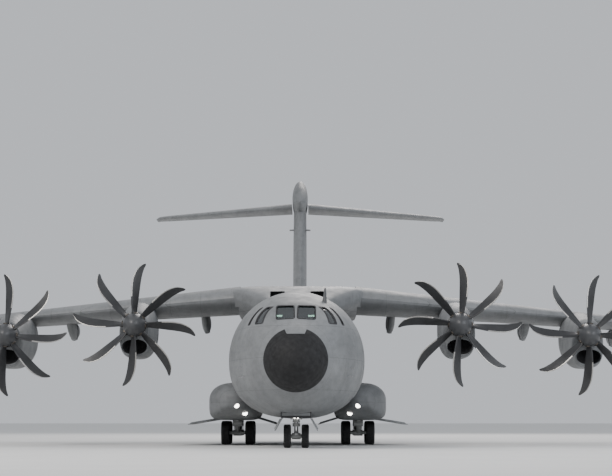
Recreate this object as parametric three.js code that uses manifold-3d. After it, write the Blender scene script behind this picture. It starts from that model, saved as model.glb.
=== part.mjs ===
// A four-propeller, high-wing, T-tailed military transport plane standing on its gear, as a 1:2 scale model.
// Sizes are metres of the full-size aircraft, and the exported group's scale turns them into millimetres
// of the model. +X is the aircraft's left, -Y its nose, +Z up. The ground is z = 0, and the origin is on
// the ground below the middle of the overall length. A station is a distance aft of the nose tip.
import * as THREE from "three";
import { mergeVertices } from "three/addons/utils/BufferGeometryUtils.js";
import Module from "manifold-3d";

const wasm = await Module();
wasm.setup();

const MODEL_MM_PER_METRE = 500; // 1:2
const LENGTH = 45.1;
const HALF_SPAN = 21.18;
const HEIGHT = 14.7;

const FLATNESS = 0.0001; // faces this near to one plane become one face
const SEAT = 0.0007; // gap between pieces that rest on each other, 0.35 mm on the model
const RUN = 0.016; // clearance round a moving piece, 8 mm on the model
const PIN_PLAY = 0.0008; // between a pin's corners and its bore's flats

const WALL = 0.15; // the whole fuselage wall, skin to lining
const FUSELAGE_SIDES = 24;

const FLOOR_TOP = 1.95; // cargo floor
const FLOOR_THICKNESS = 0.2;
const DECK_TOP = 4.05; // cockpit deck
const DECK_THICKNESS = 0.1;

// Where one length of fuselage ends and the next begins
const RADOME_END = 1.05;
const NOSE_END = 6.4;
const FORWARD_END = 13;
const CENTER_END = 26;
const REAR_END = 39.2;
const TAIL_END = 43;

// station, half width, crown, belly, height of greatest width, squareness of the upper and of the lower half
const FUSELAGE = [
  [0, 0.03, 3.36, 3.3, 3.33, 2, 2],
  [0.06, 0.36, 3.7, 2.98, 3.34, 2, 2],
  [0.22, 0.66, 4.04, 2.7, 3.36, 2, 2],
  [0.55, 0.97, 4.37, 2.42, 3.39, 2, 2],
  [1.05, 1.25, 4.67, 2.17, 3.42, 2, 2],
  [1.6, 1.48, 4.92, 1.93, 3.44, 2.3, 2],
  [2.3, 1.72, 5.3, 1.68, 3.46, 2.8, 2.05],
  [3, 1.95, 5.67, 1.49, 3.49, 2.7, 2.1],
  [3.8, 2.17, 5.93, 1.36, 3.52, 2.4, 2.2],
  [4.8, 2.42, 6.15, 1.25, 3.56, 2.2, 2.3],
  [6.2, 2.66, 6.34, 1.2, 3.6, 2.05, 2.4],
  [8, 2.82, 6.43, 1.19, 3.61, 2, 2.4],
  [26, 2.82, 6.43, 1.19, 3.61, 2, 2.4],
  [27.2, 2.81, 6.43, 1.24, 3.63, 2, 2.7],
  [28.6, 2.79, 6.43, 1.42, 3.66, 2, 3],
  [31.2, 2.68, 6.43, 2.05, 3.92, 2, 3],
  [34, 2.42, 6.4, 2.74, 4.32, 2, 2.8],
  [36.6, 1.98, 6.35, 3.55, 4.78, 2, 2.5],
  [39.2, 1.42, 6.25, 4.4, 5.2, 2, 2.2],
  [41.4, 0.82, 6.08, 5.02, 5.5, 2, 2],
  [42.6, 0.36, 5.9, 5.36, 5.62, 2, 2],
  [43, 0.08, 5.72, 5.54, 5.63, 2, 2],
];

// Wing: the panel's root rib, and the panel's own frame, in which x runs out along the span
const WING_ROOT = { x: 2.6, station: 14.9, z: 6.62 };
const ANHEDRAL = 3.2; // degrees
const INCIDENCE = 3; // degrees, leading edge up
// distance out from the root rib, leading edge's distance aft, chord, thickness to chord
const WING = [
  [0, 0, 7.3, 0.168],
  [6.7, 2.06, 5.55, 0.152],
  [13.4, 4.2, 4.05, 0.13],
  [17.9, 5.68, 3.05, 0.12],
  [18.35, 5.98, 2.62, 0.11],
  [18.62, 6.62, 1.75, 0.09],
];
// name, inner end and outer end along the span, its hinge's depth below the chord plane, fairing places
const FLAPS = [
  ["inner_flap", 0.35, 6.55, 0.92, [1.8, 5.4]],
  ["outer_flap", 6.75, 13.3, 0.83, [8.2, 12.6]],
];
const FLAP = { nose: 0.7, hinge: 0.745, shroudEnd: 0.81, skin: 0.05 }; // shares of the chord, metres
const AILERON = { from: 13.7, to: 17.6, hinge: 0.75 };

// Engines: span place, shaft height, station of the propeller's disc, and which way the blades turn
const ENGINES = [
  [12.81, 4.84, 12.75, 1, "left_outer"],
  [7.03, 5.22, 11.0, -1, "left_inner"],
  [-7.03, 5.22, 11.0, 1, "right_inner"],
  [-12.81, 4.84, 12.75, -1, "right_outer"],
];
const PROPELLER_RADIUS = 2.665;
const BLADES = 8;
const BLADE_REST = 0.07; // radians that the first blade stands off upright
const SHAFT_RADIUS = 0.12;
const ENGINE = { radius: 0.45, start: 1.1, length: 2.6 };
// distance aft of the disc, half width, top and bottom measured from the shaft
const NACELLE = [
  [0.3, 0.64, 0.56, -1.36],
  [0.75, 0.69, 0.74, -1.43],
  [1.9, 0.7, 0.98, -1.44],
  [3.4, 0.72, 1.13, -1.4],
  [5.0, 0.7, 1.14, -1.2],
  [6.6, 0.6, 1.04, -0.86],
  [8.0, 0.4, 0.96, -0.42],
  [8.7, 0.26, 0.9, -0.1],
];

// Fin and tailplane
const FIN = [
  // height, leading edge's station, chord, thickness to chord
  [5.4, 32.0, 9.0, 0.08],
  [6.9, 33.5, 8.2, 0.088],
  [13.0, 38.7, 5.2, 0.135],
];
const RUDDER = { from: 7.45, to: 12.4, hinge: 0.7 };
// station, half width, top, bottom of the fairing where the fin meets the tailplane
const BULLET = [
  [37.7, 0.04, 13.32, 13.24],
  [38.1, 0.26, 13.72, 12.98],
  [38.9, 0.4, 14.3, 12.72],
  [40.2, 0.44, HEIGHT, 12.6],
  [42.2, 0.43, 14.55, 12.6],
  [43.6, 0.3, 14.1, 12.72],
  [44.6, 0.06, 13.5, 13.2],
];
const TAILPLANE_ROOT = { x: 0.46, station: 39.3, z: 13.15 };
const TAILPLANE_DROOP = 2.5; // degrees
const TAILPLANE = [
  // distance out, leading edge's distance aft, chord, thickness to chord
  [0, 0, 4.6, 0.11],
  [7.3, 3.1, 2.45, 0.105],
  [7.72, 3.38, 2.1, 0.1],
  [7.95, 4.05, 1.75, 0.08],
];
const ELEVATOR = { from: 0.5, to: 7.1, hinge: 0.68 };
const TRIM_PIVOT = { aft: 3.0, radius: 0.1 };

// Small forms on the skin
const ROOF_ANTENNA = { x: 1.13, from: 4.15, to: 4.75, base: 5.73, top: 6.4 };
const PROBES = [
  // station, half the distance between the pair, z
  [3.95, 2.17, 3.18],
  [3.75, 2.09, 2.84],
];
const BAY_SILL = { halfWidth: 0.6, from: 3.66, to: 3.72, bottom: 1.2, top: 1.4, endTop: 1.47, end: 0.04 };
const FIN_STRAKE = { station: 37.9, z: 11.74, reach: 0.59 };

// Rear doors
const RAMP = { station: 28.6, z: 1.853, noseRadius: 0.41, halfWidth: 2.0, end: 34.0 };
const CARGO_DOOR = { station: 38.7, z: 4.335, noseRadius: 0.07, halfWidth: 0.5 };
const CREW_DOOR = { from: 6.9, to: 7.8, bottom: 2.05, top: 3.95, x: 2.253, cove: 0.14 };

// Gear
const NOSE_WHEEL = { station: 5.0, radius: 0.475, halfWidth: 0.15, offset: 0.36 };
const MAIN_WHEEL = { radius: 0.545, halfWidth: 0.195, offset: 0.55, x: 2.76, stations: [17.2, 18.85, 20.5] };
const AXLE_RADIUS = 0.08;
// station, outer reach, top, bottom, inner reach
const SPONSON = [
  [12.4, 3.02, 2.12, 1.8, 2.72],
  [12.7, 3.43, 2.45, 1.5, 2.2],
  [13.4, 3.76, 2.68, 1.28, 1.9],
  [14.6, 3.94, 2.78, 1.16, 1.75],
  [16.2, 3.99, 2.8, 1.12, 1.7],
  [22.2, 3.99, 2.8, 1.12, 1.7],
  [24.2, 3.7, 2.6, 1.2, 1.8],
  [26, 3.28, 2.3, 1.45, 2.1],
  [27, 2.95, 2.0, 1.75, 2.3],
];
const WELL = { inner: 1.93, outer: 3.6, from: 16.35, to: 21.35, roof: 2.3 };
const NOSE_BAY = { halfWidth: 0.52, from: 3.75, to: 6.0, roof: 2.5, wall: 0.06 };

const LEFT = 1;
const RIGHT = -1;
const SIDES = [
  ["left", LEFT],
  ["right", RIGHT],
];

const vec = (x, y, z) => new THREE.Vector3(x, y, z);
const yOf = (station) => station - LENGTH / 2;
const radians = THREE.MathUtils.degToRad;
const FAR = 60; // longer than anything here

// Solids

function toSolid(geometry) {
  const loose = geometry.index ? geometry.toNonIndexed() : geometry;
  const bare = new THREE.BufferGeometry().setAttribute("position", loose.getAttribute("position"));
  const merged = mergeVertices(bare, 1e-5);
  return new wasm.Manifold(
    new wasm.Mesh({
      numProp: 3,
      vertProperties: merged.attributes.position.array,
      triVerts: new Uint32Array(merged.index.array),
    }),
  );
}

function toGeometry(solid) {
  const mesh = solid.getMesh();
  const geometry = new THREE.BufferGeometry();
  geometry.setAttribute("position", new THREE.BufferAttribute(mesh.vertProperties, 3));
  geometry.setIndex(new THREE.BufferAttribute(mesh.triVerts, 1));
  return geometry;
}

// A closed body through rings of points, all with the same count and turning the same way
function loft(rings) {
  const count = rings[0].length;
  const triangles = [];
  const middleOf = (ring) => ring.reduce((sum, p) => sum.add(p), vec(0, 0, 0)).divideScalar(count);
  for (let i = 0; i + 1 < rings.length; i++) {
    for (let j = 0; j < count; j++) {
      const k = (j + 1) % count;
      triangles.push(rings[i][j], rings[i][k], rings[i + 1][k]);
      triangles.push(rings[i][j], rings[i + 1][k], rings[i + 1][j]);
    }
  }
  const [first, last] = [rings[0], rings[rings.length - 1]];
  const [start, end] = [middleOf(first), middleOf(last)];
  for (let j = 0; j < count; j++) {
    const k = (j + 1) % count;
    triangles.push(start, first[k], first[j]);
    triangles.push(end, last[j], last[k]);
  }
  const volume = triangles.reduce((sum, p, i) => {
    return i % 3 ? sum : sum + p.dot(vec(0, 0, 0).crossVectors(triangles[i + 1], triangles[i + 2]));
  }, 0);
  if (volume < 0) {
    for (let i = 0; i < triangles.length; i += 3) {
      [triangles[i + 1], triangles[i + 2]] = [triangles[i + 2], triangles[i + 1]];
    }
  }
  return toSolid(new THREE.BufferGeometry().setFromPoints(triangles));
}

function box(x0, x1, y0, y1, z0, z1) {
  const geometry = new THREE.BoxGeometry(x1 - x0, y1 - y0, z1 - z0);
  return toSolid(geometry.translate((x0 + x1) / 2, (y0 + y1) / 2, (z0 + z1) / 2));
}

// A round bar or cone from one point to another
function bar(from, to, radius, endRadius = radius, sides = 8, spin = 0) {
  const along = to.clone().sub(from);
  const geometry = new THREE.CylinderGeometry(endRadius, radius, along.length(), sides).rotateY(spin);
  const turn = new THREE.Quaternion().setFromUnitVectors(vec(0, 1, 0), along.clone().normalize());
  geometry.applyQuaternion(turn);
  return toSolid(geometry.translate(...from.clone().add(to).divideScalar(2).toArray()));
}

// The bore that a pin of this radius turns in, its flats facing the pin's corners
const bore = (from, to, radius, sides = 8) =>
  bar(from, to, (radius + PIN_PLAY) / Math.cos(Math.PI / sides), undefined, sides, Math.PI / sides);

// An outline of [u, v] points pushed along an axis: "x" takes (y, z), "y" takes (x, z), "z" takes (x, y)
function prism(outline, axis, from, to) {
  const shape = new THREE.Shape(outline.map(([u, v]) => new THREE.Vector2(u, v)));
  const geometry = new THREE.ExtrudeGeometry(shape, { depth: to - from, bevelEnabled: false });
  geometry.translate(0, 0, from);
  const toX = new THREE.Matrix4().makeBasis(vec(0, 1, 0), vec(0, 0, 1), vec(1, 0, 0));
  if (axis === "x") geometry.applyMatrix4(toX);
  if (axis === "y") geometry.rotateX(Math.PI / 2).scale(1, -1, 1);
  const solid = toSolid(geometry);
  return solid.volume() < 0 ? toSolid(flipped(geometry)) : solid;
}

function flipped(geometry) {
  const loose = geometry.index ? geometry.toNonIndexed() : geometry;
  const position = loose.getAttribute("position");
  const points = [];
  for (let i = 0; i < position.count; i += 3) {
    for (const k of [0, 2, 1]) points.push(vec(0, 0, 0).fromBufferAttribute(position, i + k));
  }
  return new THREE.BufferGeometry().setFromPoints(points);
}

function moved(solid, matrix) {
  const geometry = toGeometry(solid).applyMatrix4(matrix);
  return toSolid(matrix.determinant() < 0 ? flipped(geometry) : geometry);
}

const MIRROR = new THREE.Matrix4().makeScale(-1, 1, 1);
const onSide = (solid, side) => (side === LEFT ? solid : moved(solid, MIRROR));
const joined = (solids) => solids.reduce((sum, solid) => sum.add(solid));
const largest = (solid) =>
  solid.decompose().reduce((best, part) => (part.volume() > best.volume() ? part : best));

// Materials

function paint(color, roughness, metalness) {
  return new THREE.MeshStandardMaterial({ color, roughness, metalness });
}
const MATERIALS = {
  skin: paint(0x8d9296, 0.5, 0.25),
  composite: paint(0x8d9296, 0.55, 0.1),
  radome: paint(0x17181a, 0.7, 0),
  glass: paint(0x1a2226, 0.1, 0.1),
  lining: paint(0x5c6061, 0.8, 0.05),
  floor: paint(0x6b6d6c, 0.7, 0.3),
  panel: paint(0x26282a, 0.8, 0),
  seat: paint(0x3c4038, 0.9, 0),
  blade: paint(0x1d1e20, 0.5, 0.1),
  engine: paint(0x7a7873, 0.5, 0.8),
  gear: paint(0xc9cbc9, 0.4, 0.3),
  tyre: paint(0x1b1b1c, 0.9, 0),
};

const aircraft = new THREE.Group();
aircraft.scale.setScalar(MODEL_MM_PER_METRE);

function piece(name, solid, material, parent = aircraft) {
  const plain = solid.asOriginal().simplify(FLATNESS);
  const mesh = new THREE.Mesh(toGeometry(plain), MATERIALS[material]);
  mesh.name = name;
  parent.add(mesh);
  return mesh;
}

// A moving piece's own frame stands on its hinge, with x along the hinge line
function hinged(name, solid, material, frame, parent = aircraft) {
  const mesh = piece(name, solid, material, parent);
  mesh.geometry.applyMatrix4(frame.clone().invert());
  mesh.applyMatrix4(frame);
  return mesh;
}

function frameAt(origin, along, up) {
  const x = along.clone().normalize();
  const y = vec(0, 0, 0).crossVectors(up, x).normalize();
  const z = vec(0, 0, 0).crossVectors(x, y);
  return new THREE.Matrix4().makeBasis(x, y, z).setPosition(origin);
}

// Fuselage

function fuselageAt(station) {
  const next = Math.max(1, FUSELAGE.findIndex((row) => row[0] >= station));
  const [a, b] = [FUSELAGE[next - 1], FUSELAGE[next]];
  const share = (station - a[0]) / (b[0] - a[0]);
  const [, halfWidth, top, bottom, middle, upperPower, lowerPower] = a.map((v, i) => v + (b[i] - v) * share);
  return { halfWidth, top, bottom, middle, upperPower, lowerPower };
}

function fuselageRing(station, inset) {
  const f = fuselageAt(station);
  return Array.from({ length: FUSELAGE_SIDES }, (_, k) => {
    const angle = (2 * Math.PI * k) / FUSELAGE_SIDES;
    const [c, s] = [Math.cos(angle), Math.sin(angle)];
    const power = 2 / (s >= 0 ? f.upperPower : f.lowerPower);
    const reach = Math.max(0.01, (s >= 0 ? f.top - f.middle : f.middle - f.bottom) - inset);
    const width = Math.max(0.01, f.halfWidth - inset);
    const x = width * Math.sign(c) * Math.abs(c) ** power;
    return vec(x, yOf(station), f.middle + reach * Math.sign(s) * Math.abs(s) ** power);
  });
}

const wholeFuselages = new Map();
function fuselageBody(from, to, inset = 0) {
  if (!wholeFuselages.has(inset)) {
    wholeFuselages.set(inset, loft(FUSELAGE.map((row) => fuselageRing(row[0], inset))));
  }
  return wholeFuselages.get(inset).intersect(box(-4, 4, yOf(from), yOf(to), 0, 9));
}

const fuselageOutside = loft(FUSELAGE.map((row) => fuselageRing(row[0], -SEAT)));
const fuselageInside = fuselageBody(RADOME_END + WALL, TAIL_END - 1.5, WALL + SEAT);
const tube = (from, to) => fuselageBody(from, to).subtract(fuselageBody(from - 0.01, to + 0.01, WALL));
const stations = (from, to, z0, z1, halfWidth) => box(-halfWidth, halfWidth, yOf(from), yOf(to), z0, z1);

function radomeAndNose() {
  const tongueOutline = (grow) => [
    [-0.6 - grow, 5],
    [-0.345 - grow, 4.41 - grow],
    [0.345 + grow, 4.41 - grow],
    [0.6 + grow, 5],
  ];
  const tongueCut = prism(tongueOutline(SEAT), "y", yOf(0.4), yOf(RADOME_END + 0.2));
  const tongue = prism(tongueOutline(0), "y", yOf(0.4), yOf(RADOME_END + 0.2));
  const radomeWall = 0.1;
  const radome = fuselageBody(0, RADOME_END - SEAT)
    .subtract(fuselageBody(0.22, RADOME_END + 0.1, radomeWall))
    .subtract(tongueCut);
  piece("radome", radome, "radome");

  const inside = fuselageBody(RADOME_END + WALL, NOSE_END + 0.01, WALL);
  const nose = fuselageBody(RADOME_END, NOSE_END).subtract(inside);
  const capInside = fuselageBody(0.4, RADOME_END + 0.11, WALL);
  const cap = fuselageBody(0.4, RADOME_END + 0.1).subtract(capInside).intersect(tongue);
  const bay = NOSE_BAY;
  const { from, to, wall, roof, halfWidth } = bay;
  const bayTub = stations(from - wall, to + wall, 1.4, roof + wall, halfWidth + wall);
  const bayHollow = stations(bay.from, bay.to, 1, bay.roof, bay.halfWidth);
  const shell = largest(joined([nose, cap, bayTub]).subtract(bayHollow)).subtract(windowCuts());
  return joined([shell, roofAntenna(), baySill(), ...probes()]);
}

// A plate across the front of the nose wheel bay, with short uprights at its ends
function baySill() {
  const { halfWidth, from, to, bottom, top, endTop, end } = BAY_SILL;
  const uprights = SIDES.map(([, side]) => {
    const [x0, x1] = [side * (halfWidth - end), side * halfWidth].sort((p, q) => p - q);
    return box(x0, x1, yOf(from), yOf(to), bottom, endTop);
  });
  return joined([box(-halfWidth, halfWidth, yOf(from), yOf(to), bottom, top), ...uprights]);
}

// A blade antenna behind the left side panes
function roofAntenna() {
  const section = (z, from, to, halfWidth, x) => [
    vec(x, yOf(from), z),
    vec(x + halfWidth, yOf(from + 0.35 * (to - from)), z),
    vec(x, yOf(to), z),
    vec(x - halfWidth, yOf(from + 0.35 * (to - from)), z),
  ];
  const { x, from, to, base, top } = ROOF_ANTENNA;
  return loft([section(base, from, to, 0.1, x), section(top, from + 0.3, to, 0.035, x + 0.03)]);
}

// Air data probes: a stub out of the skin with a tube that points forward
function probes() {
  return SIDES.flatMap(([, side]) =>
    PROBES.map(([station, x, z]) => {
      const root = vec(side * (x - 0.1), yOf(station + 0.04), z);
      const elbow = vec(side * (x + 0.14), yOf(station), z);
      const tip = vec(elbow.x, yOf(station - 0.24), z);
      return bar(root, elbow, 0.035, 0.022, 6).add(bar(elbow, tip, 0.022, 0.012, 6));
    }),
  );
}

// Window outlines: the windscreens seen from the front, the side panes seen from the side
const WINDSCREEN = [
  [0.06, 5.07],
  [0.755, 5.03],
  [0.755, 5.59],
  [0.09, 5.6],
];
const SIDE_PANES = [
  // station, z
  [
    [2.22, 4.88],
    [2.72, 4.88],
    [3.24, 5.55],
    [3.0, 5.55],
  ],
  [
    [3.34, 4.88],
    [3.74, 4.88],
    [3.88, 5.55],
    [3.66, 5.55],
  ],
];

function windowCuts(grow = 0) {
  const cuts = SIDES.map(([, side]) => {
    const outline = WINDSCREEN.map(([x, z]) => [side * x, z]);
    const sidePanes = SIDE_PANES.map((pane) => {
      const points = pane.map(([s, z]) => [yOf(s), z]);
      return prism(points, "x", Math.min(side * 0.8, side * 2.6), Math.max(side * 0.8, side * 2.6));
    });
    return joined([prism(outline, "y", yOf(1.4), yOf(3.35)), ...sidePanes]);
  });
  return joined(cuts);
}

// One band of glass just inside the wall, showing through the six window openings
function cockpitGlass() {
  const thickness = 0.05;
  const inside = fuselageBody(1.59, 4.51, WALL + SEAT + thickness);
  const band = fuselageBody(1.6, 4.5, WALL + SEAT).subtract(inside);
  return largest(band.intersect(stations(1.9, 4.5, 4.86, 5.72, 3)));
}

function cockpitPieces() {
  const clear = fuselageBody(RADOME_END + WALL + 0.02, NOSE_END, WALL + 0.055);
  const deck = stations(1.5, NOSE_END - 0.05, DECK_TOP - DECK_THICKNESS, DECK_TOP, 3);
  const doorway = stations(5.5, 5.8, DECK_TOP, 5.85, 0.4);
  const bulkhead = stations(5.6, 5.7, DECK_TOP - 0.02, 7, 3).subtract(doorway);
  const inner = fuselageBody(RADOME_END + WALL + SEAT, NOSE_END, WALL + SEAT);
  piece("cockpit_deck", largest(deck.add(bulkhead).intersect(inner)), "lining");

  const shroud = stations(2.3, 2.85, 4.55, 4.96, 1.15);
  const face = stations(2.42, 2.7, DECK_TOP + SEAT, 4.6, 1.0);
  const console = stations(2.6, 3.35, DECK_TOP + SEAT, 4.62, 0.2);
  piece("instrument_panel", joined([shroud, face, console]).intersect(clear), "panel");

  const rail = stations(3.5, 4.1, DECK_TOP + SEAT, DECK_TOP + 0.06, 0.95);
  const seats = SIDES.map(([, side]) => {
    const x = side * 0.62;
    const part = (halfWidth, from, to, z0, z1) =>
      box(x - halfWidth, x + halfWidth, yOf(from), yOf(to), z0, z1);
    return joined([
      part(0.16, 3.6, 3.95, DECK_TOP + 0.05, 4.42),
      part(0.27, 3.45, 4.02, 4.4, 4.55),
      part(0.27, 3.95, 4.1, 4.5, 5.15),
      part(0.15, 3.98, 4.08, 5.1, 5.38),
      part(0.32, 3.6, 4.0, 4.66, 4.72).subtract(part(0.26, 3.5, 3.94, 4.6, 4.8)),
    ]);
  });
  piece("pilot_seats", joined([rail, ...seats]), "seat");
}

// Rear fuselage, with the cargo ramp and the cargo door cut from its belly

function rearOpening(widen) {
  const ramp = RAMP.halfWidth + widen;
  const door = CARGO_DOOR.halfWidth + widen;
  return prism(
    [
      [-ramp, yOf(RAMP.station)],
      [ramp, yOf(RAMP.station)],
      [ramp, yOf(RAMP.end)],
      [door, yOf(CARGO_DOOR.station)],
      [-door, yOf(CARGO_DOOR.station)],
      [-ramp, yOf(RAMP.end)],
    ],
    "z",
    0,
    4.9,
  );
}

function rearFuselage() {
  const hinge = vec(0, yOf(RAMP.station), RAMP.z);
  const doorHinge = vec(0, yOf(CARGO_DOOR.station), CARGO_DOOR.z);
  const across = (centre, halfWidth, radius, sides) =>
    bar(centre.clone().setX(-halfWidth), centre.clone().setX(halfWidth), radius, radius, sides);
  const boreAcross = (centre, halfWidth, radius) =>
    bore(centre.clone().setX(-halfWidth), centre.clone().setX(halfWidth), radius);
  const whole = tube(CENTER_END + SEAT, REAR_END - SEAT);
  const meeting = vec(0, yOf(RAMP.end), fuselageAt(RAMP.end).bottom);
  const rampReach = meeting.distanceTo(hinge) - RUN / 2;
  const doorReach = meeting.distanceTo(doorHinge) - RUN / 2;
  const rampPin = RAMP.halfWidth + 0.1;
  const doorPin = CARGO_DOOR.halfWidth + 0.1;
  const noseSides = 24;
  const reachSides = 120;

  const fixed = whole
    .subtract(rearOpening(0))
    .subtract(across(hinge, RAMP.halfWidth, RAMP.noseRadius + 0.03, noseSides))
    .subtract(across(doorHinge, CARGO_DOOR.halfWidth, CARGO_DOOR.noseRadius + 0.03, noseSides))
    .subtract(boreAcross(hinge, rampPin, 0.03))
    .subtract(boreAcross(doorHinge, doorPin, 0.025));
  piece("rear_fuselage", largest(fixed), "skin");

  // The ramp is a thick slab from the belly skin up to its own flat floor, with a round nose at the hinge
  const plan = rearOpening(-RUN);
  const lowerFace = [
    [yOf(RAMP.station - 0.6), 0],
    [yOf(RAMP.end + 0.5), 0],
  ];
  const floorFace = [
    [yOf(RAMP.end + 0.5), meeting.z + 0.42],
    [yOf(RAMP.end), meeting.z + 0.42],
    [yOf(RAMP.station), FLOOR_TOP],
    [yOf(RAMP.station - 0.6), FLOOR_TOP],
  ];
  const underFloor = prism([...lowerFace, ...floorFace], "x", -3, 3);
  const slab = fuselageBody(RAMP.station, RAMP.end + 0.5)
    .intersect(plan)
    .intersect(across(hinge, 3, rampReach, reachSides))
    .subtract(across(doorHinge, 3, doorReach + RUN, reachSides));
  const nose = across(hinge, RAMP.halfWidth - RUN, RAMP.noseRadius, noseSides).intersect(
    fuselageBody(RAMP.station - 0.6, RAMP.end),
  );
  const ramp = slab.add(nose).intersect(underFloor).add(across(hinge, rampPin - 0.02, 0.03));
  hinged("cargo_ramp", largest(ramp), "skin", frameAt(hinge, vec(1, 0, 0), vec(0, 0, 1)));

  const door = tube(RAMP.end - 1, CARGO_DOOR.station)
    .intersect(plan)
    .intersect(across(doorHinge, 3, doorReach, reachSides))
    .subtract(across(hinge, 3, rampReach + RUN, reachSides))
    .add(across(doorHinge, CARGO_DOOR.halfWidth - RUN, CARGO_DOOR.noseRadius, noseSides))
    .add(across(doorHinge, doorPin - 0.02, 0.025));
  hinged("cargo_door", largest(door), "skin", frameAt(doorHinge, vec(1, 0, 0), vec(0, 0, 1)));
}

function forwardFuselage() {
  const door = CREW_DOOR;
  const hinge = vec(door.x, 0, door.bottom);
  const along = (from, to, radius, sides = 16) =>
    bar(hinge.clone().setY(yOf(from)), hinge.clone().setY(yOf(to)), radius, radius, sides);
  const whole = tube(NOSE_END + SEAT, FORWARD_END - SEAT);
  const hole = box(1.5, 3.2, yOf(door.from), yOf(door.to), door.bottom, door.top);
  const pinEnds = [door.from - 0.1, door.to + 0.1].map((station) => hinge.clone().setY(yOf(station)));
  const pinBore = bore(...pinEnds, 0.025);
  const fixed = whole.subtract(hole).subtract(along(door.from, door.to, door.cove)).subtract(pinBore);
  piece("forward_fuselage", fixed, "skin");
  const [from, to] = [door.from + RUN, door.to - RUN];
  const leaf = whole.intersect(box(1.5, 3.2, yOf(from), yOf(to), door.bottom, door.top - RUN));
  const made = joined([leaf, along(from, to, 0.07), along(door.from - 0.08, door.to + 0.08, 0.025, 8)]);
  hinged("crew_door", largest(made), "skin", frameAt(hinge, vec(0, 1, 0), vec(0, 0, 1)));
}

function cargoFloor() {
  const end = RAMP.station - RAMP.noseRadius - 0.05;
  const plate = stations(NOSE_END + 0.3, end, FLOOR_TOP - FLOOR_THICKNESS, FLOOR_TOP, 3);
  return plate.intersect(fuselageInside);
}

// Flying surfaces

// Half thickness of a four-digit section of thickness 1 at a share of the chord, closed at the trailing edge
const halfThickness = (x) =>
  5 * (0.2969 * Math.sqrt(x) - 0.126 * x - 0.3516 * x ** 2 + 0.2843 * x ** 3 - 0.1036 * x ** 4);
const CHORD_SHARES = [1, 0.86, 0.7, 0.5, 0.3, 0.15, 0.05, 0.01];
const TRAILING_EDGE = 0.012; // half thickness of the blunt trailing edge

// A section in the plane of u (aft) and v (thickness): trailing edge, top, nose and back
function sectionOutline(chord, ratio, grow = 0, camber = 0) {
  const bend = (x) => camber * chord * 4 * x * (1 - x);
  const thinnest = TRAILING_EDGE * Math.min(1, chord / 3);
  const thick = (x) => Math.max(chord * ratio * halfThickness(x), thinnest) + grow;
  const upper = CHORD_SHARES.map((x) => [x * chord + (x === 1 ? grow : 0), bend(x) + thick(x)]);
  const nose = [[-grow, 0]];
  const backwards = [...CHORD_SHARES].reverse();
  const lower = backwards.map((x) => [x * chord + (x === 1 ? grow : 0), bend(x) - thick(x)]);
  return [...upper, ...nose, ...lower];
}

const rowAt = (table, place) => {
  const next = Math.max(1, table.findIndex((row) => row[0] >= place));
  const [a, b] = [table[next - 1], table[next]];
  return a.map((v, i) => v + ((b[i] - v) * (place - a[0])) / (b[0] - a[0]));
};

const WING_CAMBER = 0.015;

function wingBody(grow = 0) {
  return loft(
    WING.map(([out, aft, chord, ratio]) =>
      sectionOutline(chord, ratio, grow, WING_CAMBER).map(([u, v]) => vec(out, aft + u, v)),
    ),
  );
}

// Splits a control surface that turns about a line inside it from what carries it.
// a and b are the hinge line's ends with the local half thickness there, up is the surface's own normal.
function splitControl(surface, a, b, radiusA, radiusB, up, clearance) {
  const along = b.clone().sub(a).normalize();
  const shift = (point, distance) => point.clone().addScaledVector(along, distance);
  const frame = frameAt(a, along, up);
  const length = a.distanceTo(b);
  const aft = moved(box(RUN, length - RUN, 0, 8, -2, 2), frame);
  const room = moved(box(0, length, 0, 9, -2, 2), frame);
  const nose = bar(shift(a, RUN), shift(b, -RUN), radiusA, radiusB, 16);
  const cove = bar(a, b, radiusA + clearance, radiusB + clearance, 16);
  const pinRadius = Math.min(0.03, 0.6 * Math.min(radiusA, radiusB));
  const pin = bar(shift(a, -0.12), shift(b, 0.12), pinRadius);
  const pinBore = bore(shift(a, -0.14), shift(b, 0.14), pinRadius);
  const moving = largest(surface.intersect(aft).add(nose)).add(pin);
  const fixed = largest(surface.subtract(room).subtract(cove).subtract(pinBore));
  return [fixed, moving, frame];
}

// Flap fairings: a boat-shaped body under the wing, split at the flap's dropped hinge into a fixed front
// with a lug, and a rear that swings with the flap on two cheeks and a pin
const CANOE = [
  // distance aft of the hinge, half width, top above the hinge, bottom above the hinge
  [-2.3, 0.06, 1.0, 0.78],
  [-1.4, 0.18, 1.0, 0.3],
  [-0.2, 0.21, 1.0, -0.1],
  [1.0, 0.18, 0.97, 0.12],
  [2.0, 0.07, 0.9, 0.62],
];

// The fairing lies along the airflow, and so askew of the swept hinge line by the given slope
function canoe(frame, place, depth, slope) {
  const sides = 8;
  const rings = CANOE.map(([aft, halfWidth, top, bottom]) => {
    const [high, low] = [top * depth, bottom * depth];
    return Array.from({ length: sides }, (_, k) => {
      const angle = (2 * Math.PI * k) / sides;
      const middle = (high + low) / 2;
      const across = place + slope * aft + halfWidth * Math.cos(angle);
      return vec(across, aft, middle + ((high - low) / 2) * Math.sin(angle));
    });
  });
  return moved(loft(rings), frame);
}

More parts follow.
